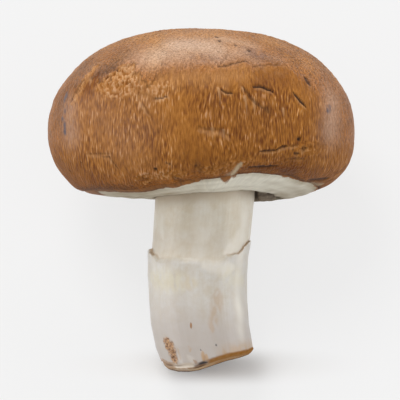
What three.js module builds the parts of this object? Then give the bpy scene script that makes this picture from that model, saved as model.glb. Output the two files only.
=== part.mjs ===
// A cremini, the brown form of the cultivated button mushroom: picked, trimmed at the foot and lying down.
// It has four pieces: the brown cap, the pleated gills under it, the pale veil that still closes most of
// the underside and is torn open at the right, and the stem with its ring ledge and slanting cut.
// Units are millimetres. Each piece is drawn in the mushroom's own upright frame, where +Z runs up the
// stem, the tip of the stem is at Z = 0, -Y is the front and angles run from +X towards +Y. laidDown() then
// lays the whole on its back, with the cap's rear and the foot of the stem on the plane Z = 0.
import * as THREE from "three";

// ---- Cap: a dome over a rounder belly, both superellipses about the widest ring ----
const CAP_HALF_WIDTH = 25;
const CAP_HALF_DEPTH = 23;
const CAP_CENTRE_X = -0.2;
const WIDEST_Z = 39.7;
const CROWN_RISE = 16.5;
const BELLY_DROP = 11.8;
const CROWN_OUT_POWER = 2.5;
const CROWN_UP_POWER = 2;
const BELLY_POWER = 3;
const CROWN_LEAN = 0.045; // shift towards +X for each millimetre above the widest ring
const CAP_ROLL = 0.015; // the cap sits lower on the right, by this share of X

// ---- Cap underside, with reaches as shares of the cap's half width and depth ----
const SKIN_END = 0.775; // the brown skin curls in this far
const LIP_REACH = 0.745;
const LIP_RISE = 0.9;
const CHAMBER_REACH = 0.725; // wall of the hollow that holds the gills
const CEILING_Z = 34.4;

// ---- Veil and gills ----
const VEIL_REACH = 0.759;
const VEIL_THICKNESS = 0.85;
const GILL_REACH = 0.7;
const GILL_COUNT = 60;
const GILL_DEPTH = 2.6; // from a gill's edge up to the groove beside it
const GILL_SAG = 1.1; // how far the gills hang lower where the veil is torn away

// ---- Stem ----
const STEM_TOP_Z = 34;
const STEM_DEPTH_SHARE = 0.96; // the stem is a little flatter from front to back
const FOOT_TIP_Z = 0.25;
const CUT_SLOPE = 0.41; // the knife's cut climbs towards +X
const HEEL_CURVE = 0.018; // and curls up towards -X, as a share of the distance squared
const FOOT_ROUNDING = 0.7;

const GAP = 0.35; // clearance between pieces
const PRESSED = 0.25; // how far the flesh is pressed flat where it lies on the table

const CAP_COLUMNS = 72;
const STEM_COLUMNS = 48;

// Rise of the cap's wavy edge above its mean height, as [angle in degrees, millimetres].
const MARGIN_LIFT = [
  [-155, -0.95],
  [-125, -1.2],
  [-106, -0.35],
  [-90, 0.5],
  [-62, 1.75],
  [-45, 1.6],
  [-28, 0.85],
  [0, 0.2],
  [45, 0],
  [130, 0.6],
  [180, -0.7],
];
// The same for the veil's inner edge, which the stem has pulled up at the front right.
const INNER_LIFT = [
  [-135, 0.5],
  [-90, 0.9],
  [-45, 1.4],
  [-18, 1.1],
  [12, 0],
  [90, 0.1],
  [140, 0.4],
  [180, 0.35],
];
// How far the veil has torn back from the stem.
const TEAR = [
  [-62, 0],
  [-48, 0.7],
  [-30, 1.9],
  [-12, 3],
  [8, 4.4],
  [30, 4.9],
  [48, 5.2],
  [66, 4.5],
  [86, 5.2],
  [104, 3.8],
  [122, 1],
  [136, 0],
  [180, 0],
];
// Height of the ring ledge, where the veil once joined the stem.
const RING_HEIGHT = [
  [-168, 20.2],
  [-152, 19],
  [-140, 18.4],
  [-120, 18.6],
  [-84, 18.3],
  [-66, 18.1],
  [-50, 18.9],
  [-34, 19.5],
  [-20, 20.9],
  [0, 21.5],
  [60, 20.7],
  [120, 21.1],
  [165, 20.4],
];
// How far the ledge stands out from the stem above it.
const RING_STEP = [
  [180, 0.6],
  [-120, 0.4],
  [-90, 0.25],
  [-45, 0.3],
  [0, 0.2],
  [90, 0.5],
];
// The stem's middle line and half width, as [Z, X, half width], from foot to top.
const STEM_LINE = [
  [0, 1.5, 7.4],
  [1.8, 1.1, 7.7],
  [4, 0.5, 7.95],
  [7.9, -0.25, 8],
  [11.8, -0.55, 8],
  [16, -0.6, 8.05],
  [19, -0.4, 7.95],
  [21.6, 0, 7.95],
  [28.5, 0.55, 8.1],
  [34, 0.65, 8.3],
];

// ---- Small helpers ----
const ease = (share) => (1 - Math.cos(Math.PI * share)) / 2;
const mix = THREE.MathUtils.lerp;
const clamp = THREE.MathUtils.clamp;

// A smooth closed function of the angle in radians through the given points.
function around(points) {
  const sorted = points.map(([degrees, value]) => [(degrees + 360) % 360, value]).sort((a, b) => a[0] - b[0]);
  return (angle) => {
    const degrees = (((angle * 180) / Math.PI) % 360 + 360) % 360;
    const next = sorted.findIndex(([at]) => at > degrees);
    const to = sorted[Math.max(next, 0)];
    const from = sorted.at(Math.max(next, 0) - 1);
    const span = (to[0] - from[0] + 360) % 360;
    return mix(from[1], to[1], ease(((degrees - from[0] + 360) % 360) / span));
  };
}

const marginLift = around(MARGIN_LIFT);
const innerLift = around(INNER_LIFT);
const tear = around(TEAR);
const ringHeight = around(RING_HEIGHT);
const ringStep = around(RING_STEP);

const columnAngles = (count) => Array.from({ length: count }, (_, i) => (2 * Math.PI * i) / count);

// The closed surface through a list of rings. They go clockwise round the section, with the axis on its left.
// A ring of one point is a pole. With no poles the last ring joins the first.
function surface(rings) {
  const positions = rings.flat().flatMap((p) => [p.x, p.y, p.z]);
  const starts = rings.map((_, i) => rings.slice(0, i).reduce((sum, ring) => sum + ring.length, 0));
  const looped = rings[0].length > 1;
  const index = [];
  for (let i = 0; i < rings.length - (looped ? 0 : 1); i++) {
    const below = (i + 1) % rings.length;
    const columns = Math.max(rings[i].length, rings[below].length);
    for (let j = 0; j < columns; j++) {
      const vertex = (ring, column) => starts[ring] + (rings[ring].length > 1 ? column % columns : 0);
      const [a, b] = [vertex(i, j), vertex(below, j)];
      const [c, d] = [vertex(below, j + 1), vertex(i, j + 1)];
      if (rings[below].length > 1) index.push(a, b, c);
      if (rings[i].length > 1) index.push(a, c, d);
    }
  }
  const geometry = new THREE.BufferGeometry();
  geometry.setAttribute("position", new THREE.Float32BufferAttribute(positions, 3));
  geometry.setIndex(index);
  geometry.computeVertexNormals();
  return geometry;
}

function piece(name, geometry, color, roughness) {
  const mesh = new THREE.Mesh(geometry, new THREE.MeshStandardMaterial({ color, roughness, metalness: 0 }));
  mesh.name = name;
  return mesh;
}

// ---- Cap ----
const bellyHeight = (reach) => WIDEST_Z - BELLY_DROP * (1 - reach ** BELLY_POWER) ** (1 / BELLY_POWER);

// A slow waviness keeps the cap from being a perfect oval.
const unevenness = (angle) => 1 + 0.006 * Math.cos(3 * angle + 1) + 0.004 * Math.cos(5 * angle - 0.6);

function capPoint(angle, reach, height) {
  const lean = CROWN_LEAN * Math.max(height - WIDEST_Z, 0);
  const radius = reach * mix(1, unevenness(angle), clamp(reach, 0, 1));
  return new THREE.Vector3(
    CAP_CENTRE_X + CAP_HALF_WIDTH * radius * Math.cos(angle) + lean,
    CAP_HALF_DEPTH * radius * Math.sin(angle),
    height - CAP_ROLL * CAP_HALF_WIDTH * radius * Math.cos(angle),
  );
}

// The sections of the cap as [reach, height, share of the margin's wave].
function capSection() {
  const section = [];
  const crownRows = 13;
  for (let row = 1; row <= crownRows; row++) {
    const turn = (Math.PI / 2) * (row / crownRows);
    const reach = Math.sin(turn) ** (2 / CROWN_OUT_POWER);
    section.push([reach, WIDEST_Z + CROWN_RISE * Math.cos(turn) ** (2 / CROWN_UP_POWER), 0]);
  }
  const bellyRows = 9;
  const deepest = (1 - SKIN_END ** BELLY_POWER) ** (1 / BELLY_POWER);
  for (let row = 1; row <= bellyRows; row++) {
    const share = row / bellyRows;
    const reach = (1 - (deepest * share) ** BELLY_POWER) ** (1 / BELLY_POWER);
    section.push([reach, WIDEST_Z - BELLY_DROP * deepest * share, share ** 2]);
  }
  const edge = bellyHeight(SKIN_END);
  section.push([LIP_REACH, edge + LIP_RISE, 1]);
  section.push([CHAMBER_REACH, edge + 2 * LIP_RISE, 0.6]);
  section.push([CHAMBER_REACH, CEILING_Z - 0.8, 0]);
  section.push([CHAMBER_REACH - 0.03, CEILING_Z, 0]);
  section.push([0.4, CEILING_Z, 0]);
  return section;
}

function cap() {
  const rings = [[capPoint(0, 0, WIDEST_Z + CROWN_RISE)]];
  for (const [reach, height, wave] of capSection()) {
    rings.push(columnAngles(CAP_COLUMNS).map((a) => capPoint(a, reach, height + wave * marginLift(a))));
  }
  rings.push([capPoint(0, 0, CEILING_Z)]);
  return piece("cap", surface(rings), 0x9a6536, 0.5);
}

// ---- Stem ----
function stemAt(height) {
  const above = STEM_LINE.findIndex(([z]) => z >= height);
  const to = STEM_LINE[above < 0 ? STEM_LINE.length - 1 : Math.max(above, 1)];
  const from = STEM_LINE[STEM_LINE.indexOf(to) - 1];
  const share = clamp((height - from[0]) / (to[0] - from[0]), 0, 1);
  return { x: mix(from[1], to[1], share), radius: mix(from[2], to[2], share) };
}

function stemPoint(angle, height, extra = 0, shrink = 1) {
  const { x, radius } = stemAt(height);
  const reach = (radius + extra) * shrink;
  return new THREE.Vector3(x + reach * Math.cos(angle), STEM_DEPTH_SHARE * reach * Math.sin(angle), height);
}

// Height of the knife's cut: a short heel on the left, then a straight climb to the right.
const cutHeight = (x) => FOOT_TIP_Z + (x > 0 ? CUT_SLOPE * x : HEEL_CURVE * x * x);

// The stem is bent, so the point where its side meets the cut is closed in on in a few rounds.
function footPoint(angle, shrink) {
  let point = stemPoint(angle, 2, 0, shrink);
  for (let round = 0; round < 4; round++) {
    point = stemPoint(angle, cutHeight(point.x), 0, shrink);
  }
  return point;
}

function stem() {
  const angles = columnAngles(STEM_COLUMNS);
  const rings = [[stemPoint(0, STEM_TOP_Z, 0, 0)]];
  const neckRows = 6;
  for (let row = 0; row <= neckRows; row++) {
    const share = row / neckRows;
    rings.push(angles.map((a) => stemPoint(a, mix(STEM_TOP_Z, ringHeight(a), share))));
  }
  const ledge = 0.12; // the ledge falls this much from its root to its lip
  rings.push(angles.map((a) => stemPoint(a, ringHeight(a) - ledge, ringStep(a))));
  const shaftRows = 9;
  for (let row = 1; row <= shaftRows; row++) {
    const share = row / shaftRows;
    rings.push(
      angles.map((a) => {
        const foot = footPoint(a, 1);
        const height = mix(ringHeight(a) - ledge, foot.z + FOOT_ROUNDING, share);
        return stemPoint(a, height, ringStep(a) * (1 - share) ** 6);
      }),
    );
  }
  const turned = [0.3, 0.75];
  for (const share of turned) {
    const shrink = 1 - 0.085 * share * share;
    rings.push(
      angles.map((a) => {
        const foot = footPoint(a, shrink);
        foot.z += FOOT_ROUNDING * (1 - share) ** 2;
        return foot;
      }),
    );
  }
  for (const shrink of [0.86, 0.5]) {
    rings.push(angles.map((a) => footPoint(a, shrink)));
  }
  rings.push([footPoint(0, 0)]);
  return piece("stem", surface(rings), 0xcbc4b7, 0.6);
}

// ---- Veil ----
// Height of the underside: the belly's curve carried on inwards, with the cap's wave fading into the veil's.
function undersideHeight(point, angle) {
  const reach = Math.hypot(point.x / CAP_HALF_WIDTH, point.y / CAP_HALF_DEPTH);
  const inward = clamp((VEIL_REACH - reach) / (VEIL_REACH - 0.37), 0, 1);
  const lift = mix(marginLift(angle), innerLift(angle), inward);
  return bellyHeight(Math.min(reach, VEIL_REACH)) - CAP_ROLL * point.x + lift;
}

// A point of the veil, a share of the way from the cap's edge to the veil's torn inner edge.
function veilPoint(angle, share, thickness) {
  const rim = capPoint(angle, VEIL_REACH, 0);
  const point = rim.lerp(stemPoint(angle, 29, GAP + tear(angle)), share);
  return point.setZ(undersideHeight(point, angle) + thickness);
}

function veil() {
  const angles = columnAngles(CAP_COLUMNS);
  const shares = [0.04, 0.14, 0.3, 0.5, 0.75, 1];
  const top = shares.map((s) => angles.map((a) => veilPoint(a, s, VEIL_THICKNESS * (s < 0.1 ? 0.55 : 1))));
  const underside = shares.map((s) => angles.map((a) => veilPoint(a, s === shares[0] ? 0 : s, 0)));
  return piece("veil", surface([...top.reverse(), ...underside]), 0xb9b09c, 0.65);
}

// ---- Gills ----
// One pleated ring: each gill is a thin blade between two grooves.
function gillRing(outFromStem, shape) {
  const quarters = [
    [0, true],
    [0.3, true],
    [0.5, false],
    [0.8, false],
  ];
  return columnAngles(GILL_COUNT).flatMap((start) =>
    quarters.map(([quarter, isEdge]) => {
      const angle = start + (quarter * 2 * Math.PI) / GILL_COUNT;
      const wall = capPoint(angle, GILL_REACH, 0);
      const inner = stemPoint(angle, STEM_TOP_Z, GAP).setZ(wall.z);
      const point = inner.clone().lerp(wall, Math.min(outFromStem(tear(angle)) / inner.distanceTo(wall), 1));
      if (shape === "top") return point.setZ(CEILING_Z - GAP - CAP_ROLL * point.x);
      const sag = shape === "bared" ? GILL_SAG * ease(clamp((tear(angle) - 2) / 1.2, 0, 1)) : 0;
      const edge = undersideHeight(point, angle) + VEIL_THICKNESS + GAP - sag;
      return point.setZ(isEdge ? edge : Math.min(edge + GILL_DEPTH, CEILING_Z - 1.2));
    }),
  );
}

function gills() {
  const stemSide = () => 0;
  const wall = () => Infinity;
  const underTear = (torn) => Math.max(torn - 0.75, 1.5);
  const pastTear = (torn) => Math.max(torn - 1.7, 0.8);
  const rings = [
    gillRing(stemSide, "top"),
    gillRing(wall, "top"),
    gillRing(wall, "hidden"),
    gillRing(underTear, "hidden"),
    gillRing(pastTear, "bared"),
    gillRing(stemSide, "bared"),
  ];
  return piece("gills", surface(rings), 0x5a4c40, 0.85);
}

// ---- Lying down ----
// The mushroom leans back until the cap's rear and the foot of the stem lie on one plane. What would sink
// under that plane is pressed flat against it. The origin is on the plane, under the middle of the box.
const layBack = (lean) => new THREE.Matrix4().makeRotationX(lean - Math.PI / 2);

function lowestPoint(mesh, turn) {
  const position = mesh.geometry.getAttribute("position");
  const point = new THREE.Vector3();
  let lowest = Infinity;
  for (let i = 0; i < position.count; i++) {
    lowest = Math.min(lowest, point.fromBufferAttribute(position, i).applyMatrix4(turn).z);
  }
  return lowest;
}

// The lean at which the cap and the stem reach equally low, found by halving.
function restingLean(capMesh, stemMesh) {
  let [least, most] = [0, Math.PI / 3];
  for (let step = 0; step < 40; step++) {
    const lean = (least + most) / 2;
    const capIsLower = lowestPoint(capMesh, layBack(lean)) < lowestPoint(stemMesh, layBack(lean));
    [least, most] = capIsLower ? [lean, most] : [least, lean];
  }
  return least;
}

function laidDown(capMesh, stemMesh, ...others) {
  const turn = layBack(restingLean(capMesh, stemMesh));
  const drop = -lowestPoint(capMesh, turn) - PRESSED;
  const group = new THREE.Group().add(capMesh, stemMesh, ...others);
  for (const { geometry } of group.children) {
    geometry.applyMatrix4(turn).translate(0, 0, drop);
    const position = geometry.getAttribute("position");
    for (let i = 0; i < position.count; i++) {
      position.setZ(i, Math.max(position.getZ(i), 0));
    }
  }
  const middle = new THREE.Box3().setFromObject(group, true).getCenter(new THREE.Vector3());
  for (const { geometry } of group.children) {
    geometry.translate(-middle.x, -middle.y, 0);
    geometry.computeVertexNormals();
  }
  return group;
}

export default laidDown(cap(), stem(), veil(), gills());
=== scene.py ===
"""Cremini mushroom: the skin, flesh and gills over the frame's solids, on a pale table.

Every piece is drawn in the upright mushroom's own frame, in millimetres: +Z runs up the stem from the tip of
its foot, -Y is the front, and angles run from +X towards +Y. laid_down() turns the points to the frame's
metres, where the mushroom lies on its back.
"""

import math

import bpy
import numpy as np
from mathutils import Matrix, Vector
from mathutils.bvhtree import BVHTree


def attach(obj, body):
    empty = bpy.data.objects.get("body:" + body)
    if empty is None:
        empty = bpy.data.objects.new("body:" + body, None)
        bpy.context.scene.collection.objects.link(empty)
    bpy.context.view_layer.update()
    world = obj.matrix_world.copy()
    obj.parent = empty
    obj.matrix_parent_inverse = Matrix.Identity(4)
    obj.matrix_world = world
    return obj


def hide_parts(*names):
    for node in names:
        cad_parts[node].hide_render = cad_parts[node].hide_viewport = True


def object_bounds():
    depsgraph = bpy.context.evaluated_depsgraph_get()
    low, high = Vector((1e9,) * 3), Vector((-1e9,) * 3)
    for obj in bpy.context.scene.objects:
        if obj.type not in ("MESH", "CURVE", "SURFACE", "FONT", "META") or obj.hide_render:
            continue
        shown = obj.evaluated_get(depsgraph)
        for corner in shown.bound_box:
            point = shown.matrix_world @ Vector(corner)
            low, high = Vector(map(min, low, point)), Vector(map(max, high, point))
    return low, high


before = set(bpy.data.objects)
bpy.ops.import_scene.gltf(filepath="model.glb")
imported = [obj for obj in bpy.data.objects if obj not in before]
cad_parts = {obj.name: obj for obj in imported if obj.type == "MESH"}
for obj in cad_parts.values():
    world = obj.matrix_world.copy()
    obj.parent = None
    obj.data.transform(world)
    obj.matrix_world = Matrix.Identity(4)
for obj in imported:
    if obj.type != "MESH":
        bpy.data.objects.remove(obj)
cad_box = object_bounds()

bl_info = {
    "name": "Cremini mushroom",
    "version": (1, 0, 0),
    "blender": (4, 5, 0),
    "location": "View3D > Sidebar > Mushroom",
    "description": "Builds a cremini's cap, stem, veil and gills over its solids, and its table and light",
    "category": "Add Mesh",
}

# ---------------------------------------------------------------- where the mushroom lies

LEAN = math.radians(24.514)  # the stem rises this much from the table towards the cap
FOOT = np.array([0.0000364, -0.0260739, 0.0058535])  # the upright frame's origin, in metres
MM = 0.001


def laid_down(points):
    """Upright millimetres to the frame's metres, pressed flat where the flesh meets the table."""
    x, y, z = np.moveaxis(points, -1, 0)
    s, c = math.sin(LEAN), math.cos(LEAN)
    turned = np.stack([x, y * s + z * c, z * s - y * c], axis=-1) * MM + FOOT
    turned[..., 2] = np.maximum(turned[..., 2], 0)
    return turned


# ---------------------------------------------------------------- small tools for shapes


def smooth(low, high, value):
    """0 below low, 1 above high, and eased in between."""
    share = np.clip((np.asarray(value, float) - low) / (high - low), 0, 1)
    return share * share * (3 - 2 * share)


def mix(a, b, share):
    """a where share is 0, b where it is 1, and straight in between."""
    return a + (b - a) * share


def bell(value, middle, width):
    """1 where a value meets the middle, and falling away softly to both sides over about this width."""
    return np.exp(-(((value - middle) / width) ** 2))


def around(points):
    """A smooth closed function of the angle in degrees through (angle, value) points."""
    ordered = sorted((angle % 360, value) for angle, value in points)
    at = np.array([angle for angle, _ in ordered])
    values = np.array([value for _, value in ordered])

    def value_at(angle):
        angle = np.asarray(angle, float) % 360
        after = np.searchsorted(at, angle, side="right") % len(at)
        before = (after - 1) % len(at)
        span = (at[after] - at[before]) % 360
        share = ((angle - at[before]) % 360) / span
        return mix(values[before], values[after], (1 - np.cos(np.pi * share)) / 2)

    return value_at


def noise(x, y, cells, seed):
    """Smooth noise from about -1 to 1. x counts cells round the mushroom, and repeats after this many."""
    lowest = int(np.floor(y.min()))
    rows = int(np.floor(y.max())) - lowest + 2
    turn = np.random.default_rng(seed).uniform(0, 2 * np.pi, (cells, rows))
    column, row = np.floor(x).astype(int), np.floor(y).astype(int)
    fx, fy = x - column, y - row

    def corner(dx, dy):
        angle = turn[(column + dx) % cells, row + dy - lowest]
        return np.cos(angle) * (fx - dx) + np.sin(angle) * (fy - dy)

    ease_x = fx**3 * (fx * (fx * 6 - 15) + 10)
    ease_y = fy**3 * (fy * (fy * 6 - 15) + 10)
    near = mix(corner(0, 0), corner(1, 0), ease_x)
    far = mix(corner(0, 1), corner(1, 1), ease_x)
    return 1.5 * mix(near, far, ease_y)


def grain(angle, along, radius, width, length, seed):
    """Noise whose cells are width mm round a ring of this radius and length mm along the growth."""
    cells = max(int(round(2 * math.pi * radius / width)), 3)
    return noise(angle / 360 * cells, along / length, cells, seed)


def pattern_place(angle, radius, along):
    """Where the materials' patterns look up a point, in mm: on a ring of this radius and along the growth."""
    turn = np.radians(angle)
    return np.stack([radius * np.cos(turn), radius * np.sin(turn), along], -1)


def facing(grid):
    """The unit normals of a closed grid of points, to the left of its rows."""
    across = np.roll(grid, -1, axis=1) - np.roll(grid, 1, axis=1)
    along = np.gradient(grid, axis=0)
    normal = np.cross(along, across)
    return normal / np.maximum(np.linalg.norm(normal, axis=-1, keepdims=True), 1e-9)


def distance_to(points, path):
    """The distance in mm from each point to a line of a few points, and the share of the way along it."""
    nearest = np.full(points.shape[:-1], np.inf)
    share = np.zeros(points.shape[:-1])
    for i, (start, end) in enumerate(zip(path[:-1], path[1:])):
        step = end - start
        t = np.clip(((points - start) @ step) / (step @ step), 0, 1)
        gap = np.linalg.norm(points - start - t[..., None] * step, axis=-1)
        closer = gap < nearest
        nearest = np.where(closer, gap, nearest)
        share = np.where(closer, (i + t) / (len(path) - 1), share)
    return nearest, share


def columns(count, front=0.0):
    """Angles in degrees round the mushroom, closer together at the front by this share."""
    fine = np.linspace(-270, 90, 7201)
    density = 1 + front * np.cos(np.radians(fine + 90))
    total = np.concatenate([[0], np.cumsum((density[1:] + density[:-1]) / 2)])
    return np.interp(np.arange(count) / count * total[-1], total, fine)


def grid_faces(rows, count, looped=False):
    """Quads between neighbouring rows of a closed grid. A looped grid's last row joins its first."""
    row = np.arange(rows if looped else rows - 1)[:, None]
    column = np.arange(count)[None, :]
    after = (column + 1) % count
    below = (row + 1) % rows
    quads = [row * count + column, below * count + column, below * count + after, row * count + after]
    return np.stack([np.broadcast_to(quad, (len(row), count)) for quad in quads], -1).reshape(-1, 4)


def fan_ended(rows, count):
    """The faces of a closed grid, with a fan at each end round one of the two points that follow the grid."""
    first, last = rows * count, rows * count + 1
    end = (rows - 1) * count
    faces = grid_faces(rows, count).tolist()
    for column in range(count):
        after = (column + 1) % count
        faces.append([first, column, after])
        faces.append([last, end + after, end + column])
    return faces


def add_piece(name, points, faces, materials, node, values=None, kinds=None):
    """Makes a smooth mesh from upright points, lays it down and lets it stand for its node of the frame."""
    mesh = bpy.data.meshes.new(name)
    mesh.from_pydata(laid_down(points).tolist(), [], [list(face) for face in faces])
    for label, data in (values or {}).items():
        kind = "FLOAT_VECTOR" if data.ndim == 2 else "FLOAT"
        attribute = mesh.attributes.new(label, kind, "POINT")
        attribute.data.foreach_set("vector" if data.ndim == 2 else "value", data.astype(np.float32).ravel())
    for material in materials:
        mesh.materials.append(material)
    if kinds is not None:
        mesh.polygons.foreach_set("material_index", np.asarray(kinds, np.int32))
    mesh.shade_smooth()
    mesh.validate()
    piece = bpy.data.objects.new(name, mesh)
    bpy.context.scene.collection.objects.link(piece)
    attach(piece, "root")
    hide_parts(node)
    return piece


def follows_solid(name, points, slack):
    """Stops the script if a drawn surface, in upright mm, strays from the solid that it stands for."""
    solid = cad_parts[name]
    tree = BVHTree.FromPolygons(
        [v.co.copy() for v in solid.data.vertices], [tuple(p.vertices) for p in solid.data.polygons]
    )
    worst = max(tree.find_nearest(Vector(p))[3] for p in laid_down(points).reshape(-1, 3)) / MM
    if worst > slack:
        raise RuntimeError(f"the surface drawn for {name} is {worst:.2f} mm off its solid")


# ---------------------------------------------------------------- the forms of the solids

CAP_HALF_WIDTH, CAP_HALF_DEPTH = 25.0, 23.0
CAP_RADIUS = (CAP_HALF_WIDTH + CAP_HALF_DEPTH) / 2
CAP_CENTRE_X = -0.2
WIDEST, CROWN_RISE, BELLY_DROP = 39.7, 16.5, 11.8
CROWN_LEAN, CAP_ROLL = 0.045, 0.015
SKIN_END, LIP_REACH, CHAMBER_REACH, VEIL_REACH = 0.775, 0.745, 0.725, 0.759
CEILING, VEIL_THICKNESS, GAP = 34.4, 0.85, 0.35

margin_lift = around(
    [(-155, -0.95), (-125, -1.2), (-106, -0.35), (-90, 0.5), (-62, 1.75), (-45, 1.6), (-28, 0.85)]
    + [(0, 0.2), (45, 0), (130, 0.6), (180, -0.7)]
)
inner_lift = around(
    [(-135, 0.5), (-90, 0.9), (-45, 1.4), (-18, 1.1), (12, 0), (90, 0.1), (140, 0.4), (180, 0.35)]
)
tear = around(
    [(-62, 0), (-48, 0.7), (-30, 1.9), (-12, 3), (8, 4.4), (30, 4.9), (48, 5.2), (66, 4.5), (86, 5.2)]
    + [(104, 3.8), (122, 1), (136, 0), (180, 0)]
)
ring_step = around([(180, 0.6), (-120, 0.4), (-90, 0.25), (-45, 0.3), (0, 0.2), (90, 0.5)])
STEM_LINE = np.array(
    [
        [0, 1.5, 7.4],
        [1.8, 1.1, 7.7],
        [4, 0.5, 7.95],
        [7.9, -0.25, 8],
        [11.8, -0.55, 8],
        [16, -0.6, 8.05],
        [19, -0.4, 7.95],
        [21.6, 0, 7.95],
        [28.5, 0.55, 8.1],
        [34, 0.65, 8.3],
    ]
)
STEM_TOP, STEM_DEPTH_SHARE = 34.0, 0.96
STEM_RADIUS = 8.0


def cap_point(angle, reach, height):
    """A point of the cap's oval rings. reach is a share of the cap's half width and depth."""
    turn = np.radians(angle)
    uneven = 1 + 0.006 * np.cos(3 * turn + 1) + 0.004 * np.cos(5 * turn - 0.6)
    radius = reach * mix(1, uneven, np.clip(reach, 0, 1))
    x = CAP_HALF_WIDTH * radius * np.cos(turn)
    lean = CROWN_LEAN * np.maximum(height - WIDEST, 0)
    y = CAP_HALF_DEPTH * radius * np.sin(turn)
    return np.stack([CAP_CENTRE_X + x + lean, y, height - CAP_ROLL * x], -1)


def belly_height(reach):
    """Height of the belly's curve under the widest ring, at this share of that ring's reach."""
    return WIDEST - BELLY_DROP * (1 - np.minimum(reach, 1) ** 3) ** (1 / 3)


def skin_profile(rows, crown_step):
    """Rows from the crown to the skin's edge: reach, height, share of the margin's wave, mm along the skin.
    Rows on the crown are crown_step times further apart than on the belly."""
    turn = np.linspace(0.012, np.pi / 2, 1500)
    deepest = (1 - SKIN_END**3) ** (1 / 3)
    share = np.linspace(0, 1, 900)[1:]
    reach = np.concatenate([np.sin(turn) ** 0.8, (1 - (deepest * share) ** 3) ** (1 / 3)])
    height = np.concatenate([WIDEST + CROWN_RISE * np.cos(turn), WIDEST - BELLY_DROP * deepest * share])
    wave = np.concatenate([np.zeros_like(turn), share**2])
    steps = np.hypot(np.diff(reach) * CAP_RADIUS, np.diff(height))
    arc = np.concatenate([[0], np.cumsum(steps)])
    density = mix(1 / crown_step, 1, smooth(0.2, 0.55, arc / arc[-1]))
    spent = np.concatenate([[0], np.cumsum((density[1:] + density[:-1]) / 2 * np.diff(arc))])
    at = np.interp(np.linspace(0, spent[-1], rows), spent, arc)
    return [np.interp(at, arc, line)[:, None] for line in (reach, height, wave, arc)]


SKIN_LINE = skin_profile(400, 1.0)


def on_skin(angle, height):
    """The point of the cap's skin at an angle and a height above the tip of the foot."""
    reach, level, wave, _ = SKIN_LINE
    line = cap_point(angle, reach, level + wave * margin_lift(angle)).reshape(-1, 3)
    return np.array([np.interp(-height, -line[:, 2], line[:, i]) for i in range(3)])


def skin_path(spots):
    """The points of the cap's skin at a list of (angle, height) spots."""
    return np.array([on_skin(*spot) for spot in spots])


def stem_point(angle, height, extra=0.0, shrink=1.0):
    """A point of the stem's side, extra mm out from it, or drawn in towards its middle line."""
    turn = np.radians(angle)
    centre = np.interp(height, STEM_LINE[:, 0], STEM_LINE[:, 1])
    reach = (np.interp(height, STEM_LINE[:, 0], STEM_LINE[:, 2]) + extra) * shrink
    height = np.broadcast_to(height, np.broadcast(reach, turn).shape)
    return np.stack([centre + reach * np.cos(turn), STEM_DEPTH_SHARE * reach * np.sin(turn), height], -1)


def cut_height(x):
    """Height of the knife's cut, with its short heel towards -X."""
    across = [-8.5, -6.2, -5.4, -3.9, -1.7, -0.5, 1.0, 2.8, 4.4, 6.3, 7.7, 8.4]
    height = [1.8, 1.15, 0.62, 0.3, 0.36, 0.6, 1.1, 1.72, 2.2, 2.6, 3.0, 3.45]
    return np.interp(x, across, height)


def foot_point(angle, shrink):
    """A point of the knife's cut: on its edge with a shrink of 1, and in its middle with 0."""
    point = stem_point(angle, 2.0, 0.0, shrink)
    for _ in range(4):
        point = stem_point(angle, cut_height(point[..., 0]), 0.0, shrink)
    return point


def underside_height(point, angle):
    """Height of the underside: the belly's curve carried on inwards to the stem."""
    reach = np.hypot(point[..., 0] / CAP_HALF_WIDTH, point[..., 1] / CAP_HALF_DEPTH)
    inward = np.clip((VEIL_REACH - reach) / (VEIL_REACH - 0.37), 0, 1)
    lift = mix(margin_lift(angle), inner_lift(angle), inward)
    return belly_height(np.minimum(reach, VEIL_REACH)) - CAP_ROLL * point[..., 0] + lift


# ---------------------------------------------------------------- colours and shader nodes


def linear(colour):
    """An sRGB hex colour as the linear RGBA that shaders take."""
    channels = [int(colour[i : i + 2], 16) / 255 for i in (1, 3, 5)]
    return (*[c / 12.92 if c <= 0.04045 else ((c + 0.055) / 1.055) ** 2.4 for c in channels], 1.0)


def add(tree, kind, inputs=None, **settings):
    """Adds a node. An input given as a socket is linked, and any other is set. Inputs whose names repeat or
    change with the node's settings go by number: a colour mix has its share at 0 and its colours at 6 and 7,
    and a map range has its value at 0 and its limits at 1 to 4."""
    node = tree.nodes.new(kind)
    for name, value in settings.items():
        setattr(node, name, value)
    for key, value in (inputs or {}).items():
        if isinstance(value, bpy.types.NodeSocket):
            tree.links.new(value, node.inputs[key])
        else:
            node.inputs[key].default_value = value
    return node


def new_material(name):
    """An empty node material, its tree and its principled shader, which is joined to the output."""
    material = bpy.data.materials.new(name)
    material.use_nodes = True
    tree = material.node_tree
    tree.nodes.clear()
    shader = add(tree, "ShaderNodeBsdfPrincipled")
    add(tree, "ShaderNodeOutputMaterial", {"Surface": shader.outputs["BSDF"]})
    return material, tree, shader


def colour(name, description, value):
    """A colour setting, from its hex value."""
    return bpy.props.FloatVectorProperty(
        name=name, description=description, subtype="COLOR", size=4, min=0, max=1, default=linear(value)
    )


def millimetres(name, description, value, least, most):
    """A size setting, shown as a length, from its value and limits in mm."""
    return bpy.props.FloatProperty(
        name=name, description=description, default=value * MM, min=least * MM, max=most * MM,
        precision=5, unit="LENGTH", subtype="DISTANCE",
    )


def share_of(name, description, value):
    """A setting that is a share from 0 to 1."""
    return bpy.props.FloatProperty(
        name=name, description=description, default=value, min=0, max=1, subtype="FACTOR"
    )


# ---------------------------------------------------------------- the cap

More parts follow.
